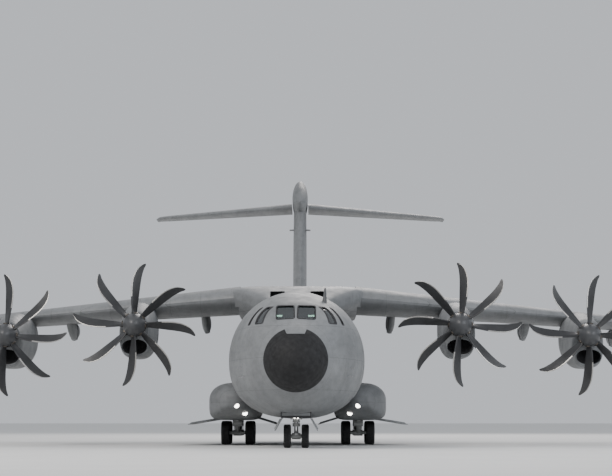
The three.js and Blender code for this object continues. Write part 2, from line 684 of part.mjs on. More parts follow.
function splitFlap(surface, [name, from, to, depth, places]) {
  const onChord = (out, share, drop) => {
    const [, aft, chord] = rowAt(WING, out);
    return vec(out, aft + share * chord, -drop);
  };
  const [a, b] = [onChord(from, FLAP.hinge, depth), onChord(to, FLAP.hinge, depth)];
  const along = b.clone().sub(a).normalize();
  const frame = frameAt(a, along, vec(0, 0, 1));
  const length = a.distanceTo(b);
  const perpendicular = Math.abs(along.x); // chordwise distances, measured square to the hinge line
  const atEnd = (out) => {
    const [, , chord, ratio] = rowAt(WING, out);
    const bend = WING_CAMBER * chord * 4 * FLAP.hinge * (1 - FLAP.hinge);
    return {
      top: depth + bend + chord * ratio * halfThickness(FLAP.hinge),
      nose: (FLAP.nose - FLAP.hinge) * chord * perpendicular,
      shroud: (FLAP.shroudEnd - FLAP.hinge) * chord * perpendicular,
    };
  };
  const [near, far] = [atEnd(from), atEnd(to)];
  // A block between two stretches square to the hinge, measured at both ends of the flap
  const wedge = (u0, u1, nearAft, farAft, nearEnd, farEnd) =>
    moved(
      prism(
        [
          [u0, nearAft],
          [u1, farAft],
          [u1, farEnd],
          [u0, nearEnd],
        ],
        "z",
        depth - 0.75,
        depth + 2,
      ),
      frame,
    );
  const drum = (grow) => {
    const [a, b] = [-0.01, length + 0.01].map((out) => vec(out, 0, 0));
    const [radiusA, radiusB] = [near, far].map(({ top }) => top - FLAP.skin + grow);
    return moved(bar(a, b, radiusA, radiusB, 40), frame);
  };
  const gap = RUN;
  const movingPlan = wedge(gap, length - gap, near.nose, far.nose, 9, 9);
  const aftOfShroud = wedge(-0.01, length + 0.01, -4, -4, near.shroud + gap, far.shroud + gap);
  const underShroud = aftOfShroud.subtract(drum(-gap));
  const room = joined([
    wedge(0, length, near.nose - gap, far.nose - gap, 9, 9).intersect(drum(0)),
    wedge(0, length, near.shroud, far.shroud, 9, 9),
  ]);
  let flap = largest(surface.intersect(movingPlan).subtract(underShroud));
  let wing = surface.subtract(room);
  for (const out of places) {
    const place = (out - from) / Math.abs(along.x);
    const whole = canoe(frame, place, depth, along.y / along.x);
    const local = (x0, x1, y0, y1, z0, z1) => moved(box(place + x0, place + x1, y0, y1, z0, z1), frame);
    const pinAt = (x0, x1, radius) => moved(bar(vec(place + x0, 0, 0), vec(place + x1, 0, 0), radius), frame);
    const boreAt = (x0, x1, radius) =>
      moved(bore(vec(place + x0, 0, 0), vec(place + x1, 0, 0), radius), frame);
    const noseAft = near.nose + ((far.nose - near.nose) * place) / length;
    const flapUnderside = depth - 0.42;
    const front = whole
      .intersect(local(-1, 1, -4, -0.16, -2, 2))
      .subtract(local(-1, 1, noseAft - gap, 1, flapUnderside, 2))
      .subtract(surface.intersect(movingPlan));
    const lug = joined([
      local(-0.05, 0.05, -0.4, 0, -0.06, 0.16),
      moved(bar(vec(place - 0.05, 0, 0), vec(place + 0.05, 0, 0), 0.1), frame),
    ]).subtract(boreAt(-0.2, 0.2, 0.045));
    wing = wing.add(front).add(lug).subtract(boreAt(-0.2, 0.2, 0.045));
    const rear = whole.intersect(local(-1, 1, 0.14, 4, -2, 2));
    const cheeks = joined(
      [-1, 1].map((side) => {
        const [x0, x1] = [side * 0.062, side * 0.1].sort((p, q) => p - q);
        return joined([pinAt(x0, x1, 0.085), local(x0, x1, 0, 0.3, -0.03, 0.14)]);
      }),
    );
    flap = joined([flap, rear, cheeks, pinAt(-0.1, 0.1, 0.045)]);
  }
  return [largest(wing), largest(flap), frame, name];
}

// The panel's own frame in the aircraft: rolled down by the anhedral and pitched up by the incidence
function panelMatrix(root, droop, pitch) {
  const turn = new THREE.Matrix4().makeRotationY(radians(droop));
  turn.multiply(new THREE.Matrix4().makeRotationX(radians(-pitch)));
  return turn.setPosition(vec(root.x, yOf(root.station), root.z));
}
const wingMatrix = panelMatrix(WING_ROOT, ANHEDRAL, INCIDENCE);
const tailMatrix = panelMatrix(TAILPLANE_ROOT, TAILPLANE_DROOP, 0);

// Frames of mirrored pieces keep x along the hinge, reversed with the side
function mirroredFrame(frame, matrix, side) {
  const world = matrix.clone().multiply(frame);
  if (side === LEFT) return world;
  return MIRROR.clone().multiply(world).multiply(MIRROR);
}

function wings() {
  const surface = wingBody();
  const aileron = AILERON;
  const hingeAt = (out) => {
    const [, aft, chord, ratio] = rowAt(WING, out);
    const bend = WING_CAMBER * chord * 4 * aileron.hinge * (1 - aileron.hinge);
    return [vec(out, aft + aileron.hinge * chord, bend), chord * ratio * halfThickness(aileron.hinge)];
  };
  const [[a, radiusA], [b, radiusB]] = [hingeAt(aileron.from), hingeAt(aileron.to)];
  let [wing, moving, frame] = splitControl(surface, a, b, radiusA, radiusB, vec(0, 0, 1), 0.022);
  const parts = [["aileron", moving, frame]];
  for (const row of FLAPS) {
    const [left, flap, flapFrame, name] = splitFlap(wing, row);
    wing = left;
    parts.push([name, flap, flapFrame]);
  }
  for (const [label, side] of SIDES) {
    piece("wing_" + label, onSide(moved(wing, wingMatrix), side), "skin");
    for (const [name, solid, hingeFrame] of parts) {
      const placed = onSide(moved(solid, wingMatrix), side);
      hinged(name + "_" + label, placed, "skin", mirroredFrame(hingeFrame, wingMatrix, side));
    }
  }
}

function wingFairing() {
  // station, half width, top, widest height
  const table = [
    [12.1, 1.1, 6.3, 6.1],
    [13.2, 1.75, 6.62, 6.15],
    [14.2, 2.4, 6.92, 6.4],
    [14.9, 2.85, 7.08, 6.65],
    [15.8, 3.0, 7.17, 6.35],
    [16.8, 3.0, 7.19, 6.15],
    [19.6, 2.95, 7.17, 6.1],
    [22.4, 2.7, 6.93, 6.1],
    [24.6, 2.0, 6.58, 6.1],
    [26.0, 1.1, 6.3, 6.1],
  ];
  const sides = 16;
  const bottom = 5.5;
  const rings = table.map(([station, halfWidth, top, middle]) =>
    Array.from({ length: sides }, (_, k) => {
      const angle = (2 * Math.PI * k) / sides;
      const [c, s] = [Math.cos(angle), Math.sin(angle)];
      const power = s >= 0 ? 2 / 6 : 1;
      const reach = s >= 0 ? Math.max(0.1, top - middle) : middle - bottom;
      const rise = reach * Math.sign(s) * Math.abs(s) ** power;
      return vec(halfWidth * Math.sign(c) * Math.abs(c) ** power, yOf(station), middle + rise);
    }),
  );
  const beyondRoot = moved(box(-SEAT, 6, -8, 14, -3, 3), wingMatrix);
  const inlets = SIDES.map(([, side]) => {
    const [x0, x1] = [side * 0.57, side * 1.21].sort((p, q) => p - q);
    return box(x0, x1, yOf(12.4), yOf(14.4), 6.5, 6.83);
  });
  return largest(
    loft(rings)
      .subtract(fuselageOutside)
      .subtract(beyondRoot)
      .subtract(moved(beyondRoot, MIRROR))
      .subtract(joined(inlets)),
  );
}

// Engines

function nacelle([x, z, disc]) {
  const sides = 12;
  const ring = ([aft, halfWidth, top, bottom], inset = 0) =>
    Array.from({ length: sides }, (_, k) => {
      const angle = (2 * Math.PI * k) / sides;
      const [c, s] = [Math.cos(angle), Math.sin(angle)];
      const power = 2 / (s >= 0 ? 2.3 : 2.8);
      const middle = (top + bottom) / 2;
      const half = (top - bottom) / 2 - inset;
      return vec(
        x + (halfWidth - inset) * Math.sign(c) * Math.abs(c) ** power,
        yOf(disc + aft),
        z + middle + half * Math.sign(s) * Math.abs(s) ** power,
      );
    });
  const oval = ([aft, halfWidth, middle, half]) =>
    Array.from({ length: 8 }, (_, k) => {
      const angle = (2 * Math.PI * k) / 8;
      return vec(x + halfWidth * Math.cos(angle), yOf(disc + aft), z + middle + half * Math.sin(angle));
    });
  const along = (from, to, radius, sides = 12) => {
    const [a, b] = [from, to].map((aft) => vec(x, yOf(disc + aft), z));
    return bar(a, b, radius, radius, sides);
  };
  const { radius, start, length } = ENGINE;
  const intake = loft([
    [0.2, 0.54, -0.95, 0.33],
    [0.8, 0.44, -0.84, 0.31],
    [1.2, 0.3, -0.36, 0.3],
  ].map(oval));
  const exhaust = loft([
    [start + length - 0.1, 0.3, 0, 0.3],
    [5.4, 0.3, -0.42, 0.28],
    [8.0, 0.24, -0.2, 0.2],
    [8.9, 0.24, 0.0, 0.2],
  ].map(oval));
  const bay = along(start - SEAT, start + length + SEAT, (radius + SEAT) / Math.cos(Math.PI / 12));
  const shaftBore = bore(vec(x, yOf(disc + 0.2), z), vec(x, yOf(disc + start + 0.1), z), SHAFT_RADIUS);
  const side = Math.sign(x);
  const body = loft(NACELLE.map((row) => ring(row)));
  const engine = along(start, start + length, radius);
  return { body, cuts: joined([intake, exhaust, bay, shaftBore]), side, engine };
}

function blade(hand) {
  // radius, chord, pitch in degrees, sweep of the mid chord
  const table = [
    [0.3, 0.26, 62, 0],
    [0.6, 0.36, 55.5, -0.04],
    [0.9, 0.42, 50, -0.06],
    [1.23, 0.45, 43.5, -0.07],
    [1.56, 0.46, 38, -0.065],
    [1.9, 0.44, 33, -0.04],
    [2.4, 0.32, 27.5, 0.1],
    [PROPELLER_RADIUS, 0.14, 24, 0.3],
  ];
  const rings = table.map(([radius, chord, pitch, sweep]) => {
    const half = Math.max(0.014, 0.115 * chord * (1.3 - radius / 3));
    const outline = [
      [-0.5, 0],
      [-0.1, 1],
      [0.5, 0],
      [-0.1, -0.6],
    ];
    const angle = radians(pitch);
    return outline.map(([u, v]) => {
      const [along, across] = [u * chord + sweep, v * half];
      // in the disc's plane the chord leads by cos, and towards the nose it rises by sin
      const turn = along * Math.cos(angle) - across * Math.sin(angle);
      const front = -(along * Math.sin(angle) + across * Math.cos(angle));
      return vec(hand * turn, front * -1, radius);
    });
  });
  return loft(rings);
}

function propeller([, , , hand]) {
  const profile = [
    [0, -0.78],
    [0.2, -0.71],
    [0.42, -0.38],
    [0.51, 0],
    [0.52, 0.27],
    [0, 0.27],
  ].map(([r, along]) => new THREE.Vector2(r, along));
  const lathe = new THREE.LatheGeometry(profile, 16);
  const spinner = toSolid(lathe);
  const turned = spinner.volume() < 0 ? toSolid(flipped(lathe)) : spinner;
  const shaft = bar(vec(0, 0.2, 0), vec(0, ENGINE.start - 0.01, 0), SHAFT_RADIUS);
  const one = blade(hand);
  const blades = Array.from({ length: BLADES }, (_, k) =>
    moved(one, new THREE.Matrix4().makeRotationY((2 * Math.PI * k) / BLADES + BLADE_REST)),
  );
  return joined([turned, shaft, ...blades]);
}

function engines() {
  const wingGrown = moved(wingBody(SEAT), wingMatrix);
  for (const row of ENGINES) {
    const { body, cuts, side, engine } = nacelle(row);
    const label = row[4];
    const made = largest(body.subtract(onSide(wingGrown, side)).subtract(cuts));
    piece("nacelle_" + label, made, "skin");
    piece("engine_" + label, engine, "engine");
    const mesh = piece("propeller_" + label, propeller(row), "blade");
    mesh.position.set(row[0], yOf(row[2]), row[1]);
  }
}

// Tail

function tail() {
  const finSection = ([z, leading, chord, ratio]) =>
    sectionOutline(chord, ratio).map(([u, v]) => vec(v, yOf(leading) + u, z));
  const finBody = loft(FIN.map(finSection));
  const hingeAt = (z) => {
    const [, leading, chord, ratio] = rowAt(FIN, z);
    return [vec(0, yOf(leading) + RUDDER.hinge * chord, z), chord * ratio * halfThickness(RUDDER.hinge)];
  };
  const [[a, radiusA], [b, radiusB]] = [hingeAt(RUDDER.from), hingeAt(RUDDER.to)];
  const radii = [radiusA * 0.97, radiusB * 0.97];
  const [fixed, rudder, rudderFrame] = splitControl(finBody, a, b, ...radii, vec(-1, 0, 0), 0.03);
  hinged("rudder", rudder, "composite", rudderFrame);

  const bullet = loft(
    BULLET.map(([station, halfWidth, top, bottom]) =>
      Array.from({ length: 14 }, (_, k) => {
        const angle = (2 * Math.PI * k) / 14;
        const middle = (top + bottom) / 2;
        const rise = ((top - bottom) / 2) * Math.sin(angle);
        return vec(halfWidth * Math.cos(angle), yOf(station), middle + rise);
      }),
    ),
  );
  const pivot = vec(0, yOf(TAILPLANE_ROOT.station + TRIM_PIVOT.aft), TAILPLANE_ROOT.z);
  const pivotBore = bore(pivot.clone().setX(-1), pivot.clone().setX(1), TRIM_PIVOT.radius);
  const rudderRoom = moved(box(0, a.distanceTo(b), -2, 9, -2, 2), rudderFrame);
  const flats = box(-0.445, 0.445, yOf(30), yOf(LENGTH), 4, 16);
  const strake = FIN_STRAKE;
  const strakeOutline = [
    [-strake.reach, yOf(strake.station + 0.55)],
    [0, yOf(strake.station)],
    [strake.reach, yOf(strake.station + 0.55)],
    [strake.reach, yOf(strake.station + 0.85)],
    [-strake.reach, yOf(strake.station + 0.85)],
  ];
  const strakes = prism(strakeOutline, "z", strake.z - 0.03, strake.z + 0.03);
  const headed = largest(fixed.add(bullet.subtract(rudderRoom.intersect(finBody)))).intersect(flats);
  const finWhole = headed.add(strakes);
  piece("fin", largest(finWhole.subtract(fuselageOutside).subtract(pivotBore)), "composite");

  const surface = loft(
    TAILPLANE.map(([out, aft, chord, ratio]) =>
      sectionOutline(chord, ratio).map(([u, v]) => vec(out, aft + u, v)),
    ),
  );
  const lineAt = (out) => {
    const [, aft, chord, ratio] = rowAt(TAILPLANE, out);
    return [vec(out, aft + ELEVATOR.hinge * chord, 0), chord * ratio * halfThickness(ELEVATOR.hinge)];
  };
  const [[c, radiusC], [d, radiusD]] = [lineAt(ELEVATOR.from), lineAt(ELEVATOR.to)];
  const hingeRadii = [radiusC * 0.97, radiusD * 0.97];
  const [plane, elevator, elevatorFrame] = splitControl(surface, c, d, ...hingeRadii, vec(0, 0, 1), 0.022);
  for (const [label, side] of SIDES) {
    const spigotEnds = [(side * SEAT) / 2, side * 0.6].map((x) => pivot.clone().setX(x));
    const spigot = bar(...spigotEnds, TRIM_PIVOT.radius);
    const placed = onSide(moved(plane, tailMatrix), side).intersect(
      side === LEFT ? box(0.46, 12, -FAR, FAR, 0, 20) : box(-12, -0.46, -FAR, FAR, 0, 20),
    );
    hinged("tailplane_" + label, placed.add(spigot), "composite", frameAt(pivot, vec(1, 0, 0), vec(0, 0, 1)));
    const moving = onSide(moved(elevator, tailMatrix), side);
    hinged("elevator_" + label, moving, "composite", mirroredFrame(elevatorFrame, tailMatrix, side));
  }
}

// Gear

function sponson(side) {
  const sides = 14;
  const rings = SPONSON.map(([station, outer, top, bottom, inner]) =>
    Array.from({ length: sides }, (_, k) => {
      const angle = (2 * Math.PI * k) / sides;
      const [c, s] = [Math.cos(angle), Math.sin(angle)];
      const power = 2 / (s >= 0 ? 2.3 : 5);
      const [cx, cz] = [(outer + inner) / 2, (top + bottom) / 2];
      return vec(
        cx + ((outer - inner) / 2) * Math.sign(c) * Math.abs(c) ** power,
        yOf(station),
        cz + ((top - bottom) / 2) * Math.sign(s) * Math.abs(s) ** power,
      );
    }),
  );
  const well = box(WELL.inner, WELL.outer, yOf(WELL.from), yOf(WELL.to), 0, WELL.roof);
  return largest(onSide(loft(rings).subtract(well), side).subtract(fuselageOutside));
}

// A tyre on its rim, turned about the axle: distance along the axle, radius
function wheel(centreX, radius, halfWidth) {
  const profile = [
    [-halfWidth * 0.7, 0],
    [-halfWidth, radius * 0.8],
    [-halfWidth * 0.7, radius],
    [halfWidth * 0.7, radius],
    [halfWidth, radius * 0.8],
    [halfWidth * 0.7, 0],
  ];
  const points = profile.map(([along, r]) => new THREE.Vector2(r, along));
  const geometry = new THREE.LatheGeometry(points, 12);
  const solid = toSolid(geometry);
  const outward = solid.volume() < 0 ? toSolid(flipped(geometry)) : solid;
  const turn = new THREE.Matrix4().makeRotationZ(-Math.PI / 2).setPosition(vec(centreX, 0, 0));
  return moved(outward, turn);
}

const wheelPair = (offset, radius, halfWidth) =>
  joined([
    wheel(-offset, radius, halfWidth),
    wheel(offset, radius, halfWidth),
    bar(vec(-offset, 0, 0), vec(offset, 0, 0), AXLE_RADIUS),
  ]);

function mainGear() {
  const w = MAIN_WHEEL;
  for (const [label, side] of SIDES) {
    const x = w.x * side;
    const roof = WELL.roof - SEAT;
    const beam = box(x - 0.22, x + 0.22, yOf(WELL.from + 0.15), yOf(WELL.to - 0.35), roof - 0.14, roof);
    const legs = w.stations.map((station) => {
      const axle = vec(x, yOf(station), w.radius);
      const knee = vec(x, yOf(station - 0.62), 0.98);
      const top = vec(x, yOf(station - 0.62), roof - 0.05);
      const damperTop = vec(x, yOf(station + 0.02), roof - 0.05);
      const eye = bar(axle.clone().add(vec(-0.2, 0, 0)), axle.clone().add(vec(0.2, 0, 0)), 0.15);
      return joined([
        bar(knee, top, 0.14),
        bar(knee.clone().add(vec(-0.2, 0, 0)), knee.clone().add(vec(0.2, 0, 0)), 0.14),
        bar(knee, axle, 0.12, 0.11),
        bar(axle.clone().add(vec(0, 0.02, 0.08)), damperTop, 0.075),
        eye,
      ]).subtract(bore(axle.clone().add(vec(-0.5, 0, 0)), axle.clone().add(vec(0.5, 0, 0)), AXLE_RADIUS));
    });
    piece("main_gear_legs_" + label, joined([beam, ...legs]), "gear");
    w.stations.forEach((station, k) => {
      const mesh = piece(`main_wheels_${label}_${k + 1}`, wheelPair(w.offset, w.radius, w.halfWidth), "tyre");
      mesh.position.set(x, yOf(station), w.radius);
    });
  }
}

function noseGear() {
  const w = NOSE_WHEEL;
  const axle = vec(0, yOf(w.station), w.radius);
  const above = (z) => vec(0, yOf(w.station), z);
  const roof = NOSE_BAY.roof - SEAT;
  const strut = joined([
    bar(above(1.02), above(roof), 0.13),
    bar(above(1.3), vec(0, yOf(NOSE_BAY.from + 0.25), roof - 0.1), 0.06),
    bar(vec(-0.4, yOf(w.station), roof - 0.12), vec(0.4, yOf(w.station), roof - 0.12), 0.09),
    box(-0.12, 0.12, yOf(NOSE_BAY.from + 0.1), yOf(NOSE_BAY.from + 0.4), roof - 0.2, roof),
  ]).subtract(bore(above(0.9), above(1.25), 0.085));
  piece("nose_gear_strut", strut, "gear");

  const fork = joined([
    bar(above(w.radius), above(1.24), 0.085),
    bar(above(0.86), above(1.0), 0.15),
    bar(axle.clone().add(vec(-0.18, 0, 0)), axle.clone().add(vec(0.18, 0, 0)), 0.13),
    box(-0.07, 0.07, yOf(w.station - 0.3), yOf(w.station), 0.5, 0.6),
    bar(vec(0, yOf(w.station), 0.62), vec(0, yOf(w.station + 0.26), 0.8), 0.035),
    bar(vec(0, yOf(w.station + 0.26), 0.8), vec(0, yOf(w.station + 0.08), 0.93), 0.035),
  ]).subtract(bore(axle.clone().add(vec(-0.5, 0, 0)), axle.clone().add(vec(0.5, 0, 0)), AXLE_RADIUS));
  hinged("nose_gear_fork", fork, "gear", frameAt(above(1.1), vec(0, 0, 1), vec(1, 0, 0)));

  const wheels = piece("nose_wheels", wheelPair(w.offset, w.radius, w.halfWidth), "tyre");
  wheels.position.copy(axle);
}

// A flat panel that hangs open from a hinge tube: both run along the aircraft, and x and z are those of the
// hinge and of the panel's free edge
function openDoor(stationsList, hinge, edge, thickness, tubeRadius) {
  const along = vec(edge[0] - hinge[0], 0, edge[1] - hinge[1]);
  const normal = vec(along.z, 0, -along.x).normalize().multiplyScalar(thickness / 2);
  const corner = ([x, z], sign) => [x + sign * normal.x, z + sign * normal.z];
  const outline = [corner(hinge, 1), corner(hinge, -1), corner(edge, -1), corner(edge, 1)];
  const panels = stationsList.map(([from, to]) => prism(outline, "y", yOf(from), yOf(to)));
  const [first, last] = [stationsList[0][0], stationsList[stationsList.length - 1][1]];
  const tubeEnds = [first + 0.05, last - 0.05].map((station) => vec(hinge[0], yOf(station), hinge[1]));
  const tubeBar = bar(...tubeEnds, tubeRadius, tubeRadius, 10);
  return joined([...panels, tubeBar]);
}

function gearDoors() {
  const spans = [
    [16.4, 18.0],
    [18.05, 19.65],
    [19.7, 21.3],
  ];
  for (const [label, side] of SIDES) {
    const outer = openDoor(spans, [3.68, 1.15], [5.0, 0.93], 0.035, 0.035).subtract(sponsonGrown);
    const inner = openDoor(spans, [1.86, 1.213], [0.94, 0.93], 0.035, 0.035).subtract(sponsonGrown);
    piece("outer_gear_doors_" + label, onSide(largest(outer), side), "composite");
    piece("inner_gear_doors_" + label, onSide(largest(inner), side), "composite");
    const noseSpan = [4.0, 5.95];
    const leaf = openDoor([noseSpan], [0.565, 1.2], [0.86, 0.69], 0.03, 0.02);
    const flange = box(0.55, 0.58, yOf(noseSpan[0]), yOf(noseSpan[1]), 1.19, 1.5);
    const door = onSide(leaf.add(flange), side).subtract(fuselageOutside);
    piece("nose_gear_door_" + label, largest(door), "composite");
  }
}

function sponsonPieces() {
  for (const [label, side] of SIDES) piece("sponson_" + label, sponson(side), "skin");
  return moved(sponson(LEFT), new THREE.Matrix4().makeTranslation(0, 0, -SEAT));
}

// The whole aircraft

const nose = radomeAndNose();
piece("nose_section", nose, "skin");
piece("cockpit_glass", cockpitGlass(), "glass");
cockpitPieces();
forwardFuselage();
piece("center_fuselage", tube(FORWARD_END, CENTER_END), "skin");
rearFuselage();
const tailHollow = fuselageBody(REAR_END - 0.01, REAR_END + 1.6, WALL);
piece("tail_cone", fuselageBody(REAR_END, TAIL_END).subtract(tailHollow), "skin");
piece("cargo_floor", cargoFloor(), "floor");
piece("wing_fairing", wingFairing(), "skin");
wings();
engines();
tail();
const sponsonGrown = sponsonPieces();
mainGear();
noseGear();
gearDoors();

export default aircraft;
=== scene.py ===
"""Looks for a 1:2 model of a four-propeller military transport plane.

Sizes are metres of the full-size aircraft until a mesh is made, which halves them. +X is the aircraft's left,
-Y its nose, +Z up. A station is a distance aft of the nose tip.
"""

import math

import bmesh
import bpy
import numpy as np
from mathutils import Matrix, Vector


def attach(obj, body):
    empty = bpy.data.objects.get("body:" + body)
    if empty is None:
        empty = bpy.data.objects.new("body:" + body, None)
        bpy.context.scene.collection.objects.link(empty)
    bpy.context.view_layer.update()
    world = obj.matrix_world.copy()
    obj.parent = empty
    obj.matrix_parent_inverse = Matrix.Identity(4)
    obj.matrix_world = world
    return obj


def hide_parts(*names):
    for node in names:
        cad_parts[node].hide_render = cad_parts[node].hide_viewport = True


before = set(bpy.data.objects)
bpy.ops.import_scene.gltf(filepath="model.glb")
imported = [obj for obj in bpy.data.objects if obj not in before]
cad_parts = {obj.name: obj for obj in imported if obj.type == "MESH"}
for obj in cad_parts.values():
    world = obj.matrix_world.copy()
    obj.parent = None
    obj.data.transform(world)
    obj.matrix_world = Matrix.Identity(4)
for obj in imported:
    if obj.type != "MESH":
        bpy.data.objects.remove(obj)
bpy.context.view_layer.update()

# Driving sizes
SCALE = 0.5
LENGTH = 45.1
WALL = 0.15
LEFT, RIGHT = 1, -1
SIDES = (("left", LEFT), ("right", RIGHT))

RADOME_END = 1.05
NOSE_END = 6.4
FORWARD_END = 13.0
CENTER_END = 26.0
REAR_END = 39.2
TAIL_END = 43.0
FLOOR_TOP = 1.95
DECK_TOP = 4.05

# station, half width, crown, belly, height of greatest width, squareness of the upper and of the lower half
FUSELAGE = np.array(
    [
        [0, 0.03, 3.36, 3.3, 3.33, 2, 2],
        [0.06, 0.36, 3.7, 2.98, 3.34, 2, 2],
        [0.22, 0.66, 4.04, 2.7, 3.36, 2, 2],
        [0.55, 0.97, 4.37, 2.42, 3.39, 2, 2],
        [1.05, 1.25, 4.67, 2.17, 3.42, 2, 2],
        [1.6, 1.48, 4.92, 1.93, 3.44, 2.3, 2],
        [2.3, 1.72, 5.3, 1.68, 3.46, 2.8, 2.05],
        [3, 1.95, 5.67, 1.49, 3.49, 2.7, 2.1],
        [3.8, 2.17, 5.93, 1.36, 3.52, 2.4, 2.2],
        [4.8, 2.42, 6.15, 1.25, 3.56, 2.2, 2.3],
        [6.2, 2.66, 6.34, 1.2, 3.6, 2.05, 2.4],
        [8, 2.82, 6.43, 1.19, 3.61, 2, 2.4],
        [26, 2.82, 6.43, 1.19, 3.61, 2, 2.4],
        [27.2, 2.81, 6.43, 1.24, 3.63, 2, 2.7],
        [28.6, 2.79, 6.43, 1.42, 3.66, 2, 3],
        [31.2, 2.68, 6.43, 2.05, 3.92, 2, 3],
        [34, 2.42, 6.4, 2.74, 4.32, 2, 2.8],
        [36.6, 1.98, 6.35, 3.55, 4.78, 2, 2.5],
        [39.2, 1.42, 6.25, 4.4, 5.2, 2, 2.2],
        [41.4, 0.82, 6.08, 5.02, 5.5, 2, 2],
        [42.6, 0.36, 5.9, 5.36, 5.62, 2, 2],
        [43, 0.08, 5.72, 5.54, 5.63, 2, 2],
    ]
)
ENGINES = (
    (12.81, 4.84, 12.75, 1, "left_outer"),
    (7.03, 5.22, 11.0, -1, "left_inner"),
    (-7.03, 5.22, 11.0, 1, "right_inner"),
    (-12.81, 4.84, 12.75, -1, "right_outer"),
)


def y_of(station):
    return station - LENGTH / 2


# Meshes


def mesh_object(name, points, faces):
    """A new object from points in full-size metres."""
    mesh = bpy.data.meshes.new(name)
    mesh.from_pydata([tuple(SCALE * c for c in p) for p in points], [], faces)
    mesh.update()
    made = bpy.data.objects.new(name, mesh)
    bpy.context.scene.collection.objects.link(made)
    return made


def outward(made):
    """Turns all faces to point out of a closed mesh."""
    bm = bmesh.new()
    bm.from_mesh(made.data)
    bmesh.ops.recalc_face_normals(bm, faces=bm.faces)
    bm.to_mesh(made.data)
    bm.free()
    return made


def loft(name, rings, closed_loop=False):
    """A closed skin through rings of points, with a fan at each end unless the rings join up in a loop."""
    count = len(rings[0])
    points = [tuple(p) for ring in rings for p in ring]
    faces = []
    spans = len(rings) if closed_loop else len(rings) - 1
    for i in range(spans):
        a, b = i * count, ((i + 1) % len(rings)) * count
        for j in range(count):
            k = (j + 1) % count
            faces.append((a + j, a + k, b + k, b + j))
    if not closed_loop:
        for start in (0, (len(rings) - 1) * count):
            ring = points[start : start + count]
            points.append(tuple(np.mean(np.array(ring), axis=0)))
            centre = len(points) - 1
            faces += [(start + j, start + (j + 1) % count, centre) for j in range(count)]
    return outward(mesh_object(name, points, faces))


def box(name, x0, x1, y0, y1, z0, z1):
    corners = [(x, y, z) for x in (x0, x1) for y in (y0, y1) for z in (z0, z1)]
    faces = [(0, 1, 3, 2), (4, 6, 7, 5), (0, 4, 5, 1), (2, 3, 7, 6), (0, 2, 6, 4), (1, 5, 7, 3)]
    return outward(mesh_object(name, corners, faces))


def prism(name, outline, axis, start, end):
    """An outline of (u, v) points pushed along an axis: x takes (y, z), y takes (x, z) and z takes (x, y)."""
    spot = "xyz".index(axis)
    points = [(*p[:spot], w, *p[spot:]) for w in (start, end) for p in outline]
    count = len(outline)
    faces = [tuple(range(count)), tuple(range(count, 2 * count))]
    faces += [(j, (j + 1) % count, count + (j + 1) % count, count + j) for j in range(count)]
    return outward(mesh_object(name, points, faces))


def ring_between(centre, across, other, radius, sides):
    """A ring of points in the plane of two directions."""
    angles = [2 * math.pi * k / sides for k in range(sides)]
    return [tuple(centre + radius * (math.cos(a) * across + math.sin(a) * other)) for a in angles]


def ring_about(centre, along, radius, sides):
    along = Vector(along).normalized()
    across = along.orthogonal().normalized()
    return ring_between(Vector(centre), across, along.cross(across), radius, sides)


def bar(name, start, end, radius, end_radius=None, sides=24):
    along = Vector(end) - Vector(start)
    far = radius if end_radius is None else end_radius
    return loft(name, [ring_about(start, along, radius, sides), ring_about(end, along, far, sides)])


def turned(name, origin, axis, profile, sides=48):
    """A solid of revolution: profile holds (distance along the axis, radius)."""
    axis = Vector(axis).normalized()
    least = 0.0005
    return loft(name, [ring_about(Vector(origin) + d * axis, axis, max(r, least), sides) for d, r in profile])


def pipe(name, points, radius, sides=12):
    """A round rod through points, with its rings kept from twisting."""
    path = [Vector(p) for p in points]
    rings = []
    across = None
    for i, p in enumerate(path):
        along = (path[min(i + 1, len(path) - 1)] - path[max(i - 1, 0)]).normalized()
        across = along.orthogonal() if across is None else across - along * across.dot(along)
        across.normalize()
        rings.append(ring_between(p, across, along.cross(across), radius, sides))
    return loft(name, rings)


def apply_modifiers(made):
    graph = bpy.context.evaluated_depsgraph_get()
    result = bpy.data.meshes.new_from_object(made.evaluated_get(graph))
    made.modifiers.clear()
    made.data = result
    return made


def combine(base, other, operation):
    """Boolean of two closed meshes. The second object is used up."""
    step = base.modifiers.new("step", "BOOLEAN")
    step.operation = operation
    step.solver = "MANIFOLD"
    step.object = other
    apply_modifiers(base)
    bpy.data.objects.remove(other)
    return base


def cut(base, *others):
    for other in others:
        combine(base, other, "DIFFERENCE")
    return base


def keep(base, other):
    return combine(base, other, "INTERSECT")


def united(base, *others):
    for other in others:
        combine(base, other, "UNION")
    return base


def copy_of(made):
    copy = bpy.data.objects.new("copy", made.data.copy())
    bpy.context.scene.collection.objects.link(copy)
    return copy


def move(made, matrix):
    """Places a mesh. The matrix is in full-size metres."""
    model = matrix.copy()
    model.translation = matrix.translation * SCALE
    made.data.transform(model)
    if matrix.determinant() < 0:
        made.data.flip_normals()
    return made


def frame_at(origin, along, up):
    x = Vector(along).normalized()
    y = Vector(up).cross(x).normalized()
    matrix = Matrix((x, y, x.cross(y))).transposed().to_4x4()
    matrix.translation = Vector(origin)
    return matrix


def largest(made):
    """Keeps the biggest connected part of a mesh."""
    bm = bmesh.new()
    bm.from_mesh(made.data)
    unseen = set(bm.verts)
    groups = []
    while unseen:
        start = unseen.pop()
        stack, group = [start], [start]
        while stack:
            for edge in stack.pop().link_edges:
                for v in edge.verts:
                    if v in unseen:
                        unseen.discard(v)
                        stack.append(v)
                        group.append(v)
        groups.append(group)
    groups.sort(key=len)
    doomed = [v for group in groups[:-1] for v in group]
    bmesh.ops.delete(bm, geom=doomed, context="VERTS")
    bm.to_mesh(made.data)
    bm.free()
    return made


def removed(*others):
    for other in others:
        bpy.data.objects.remove(other)


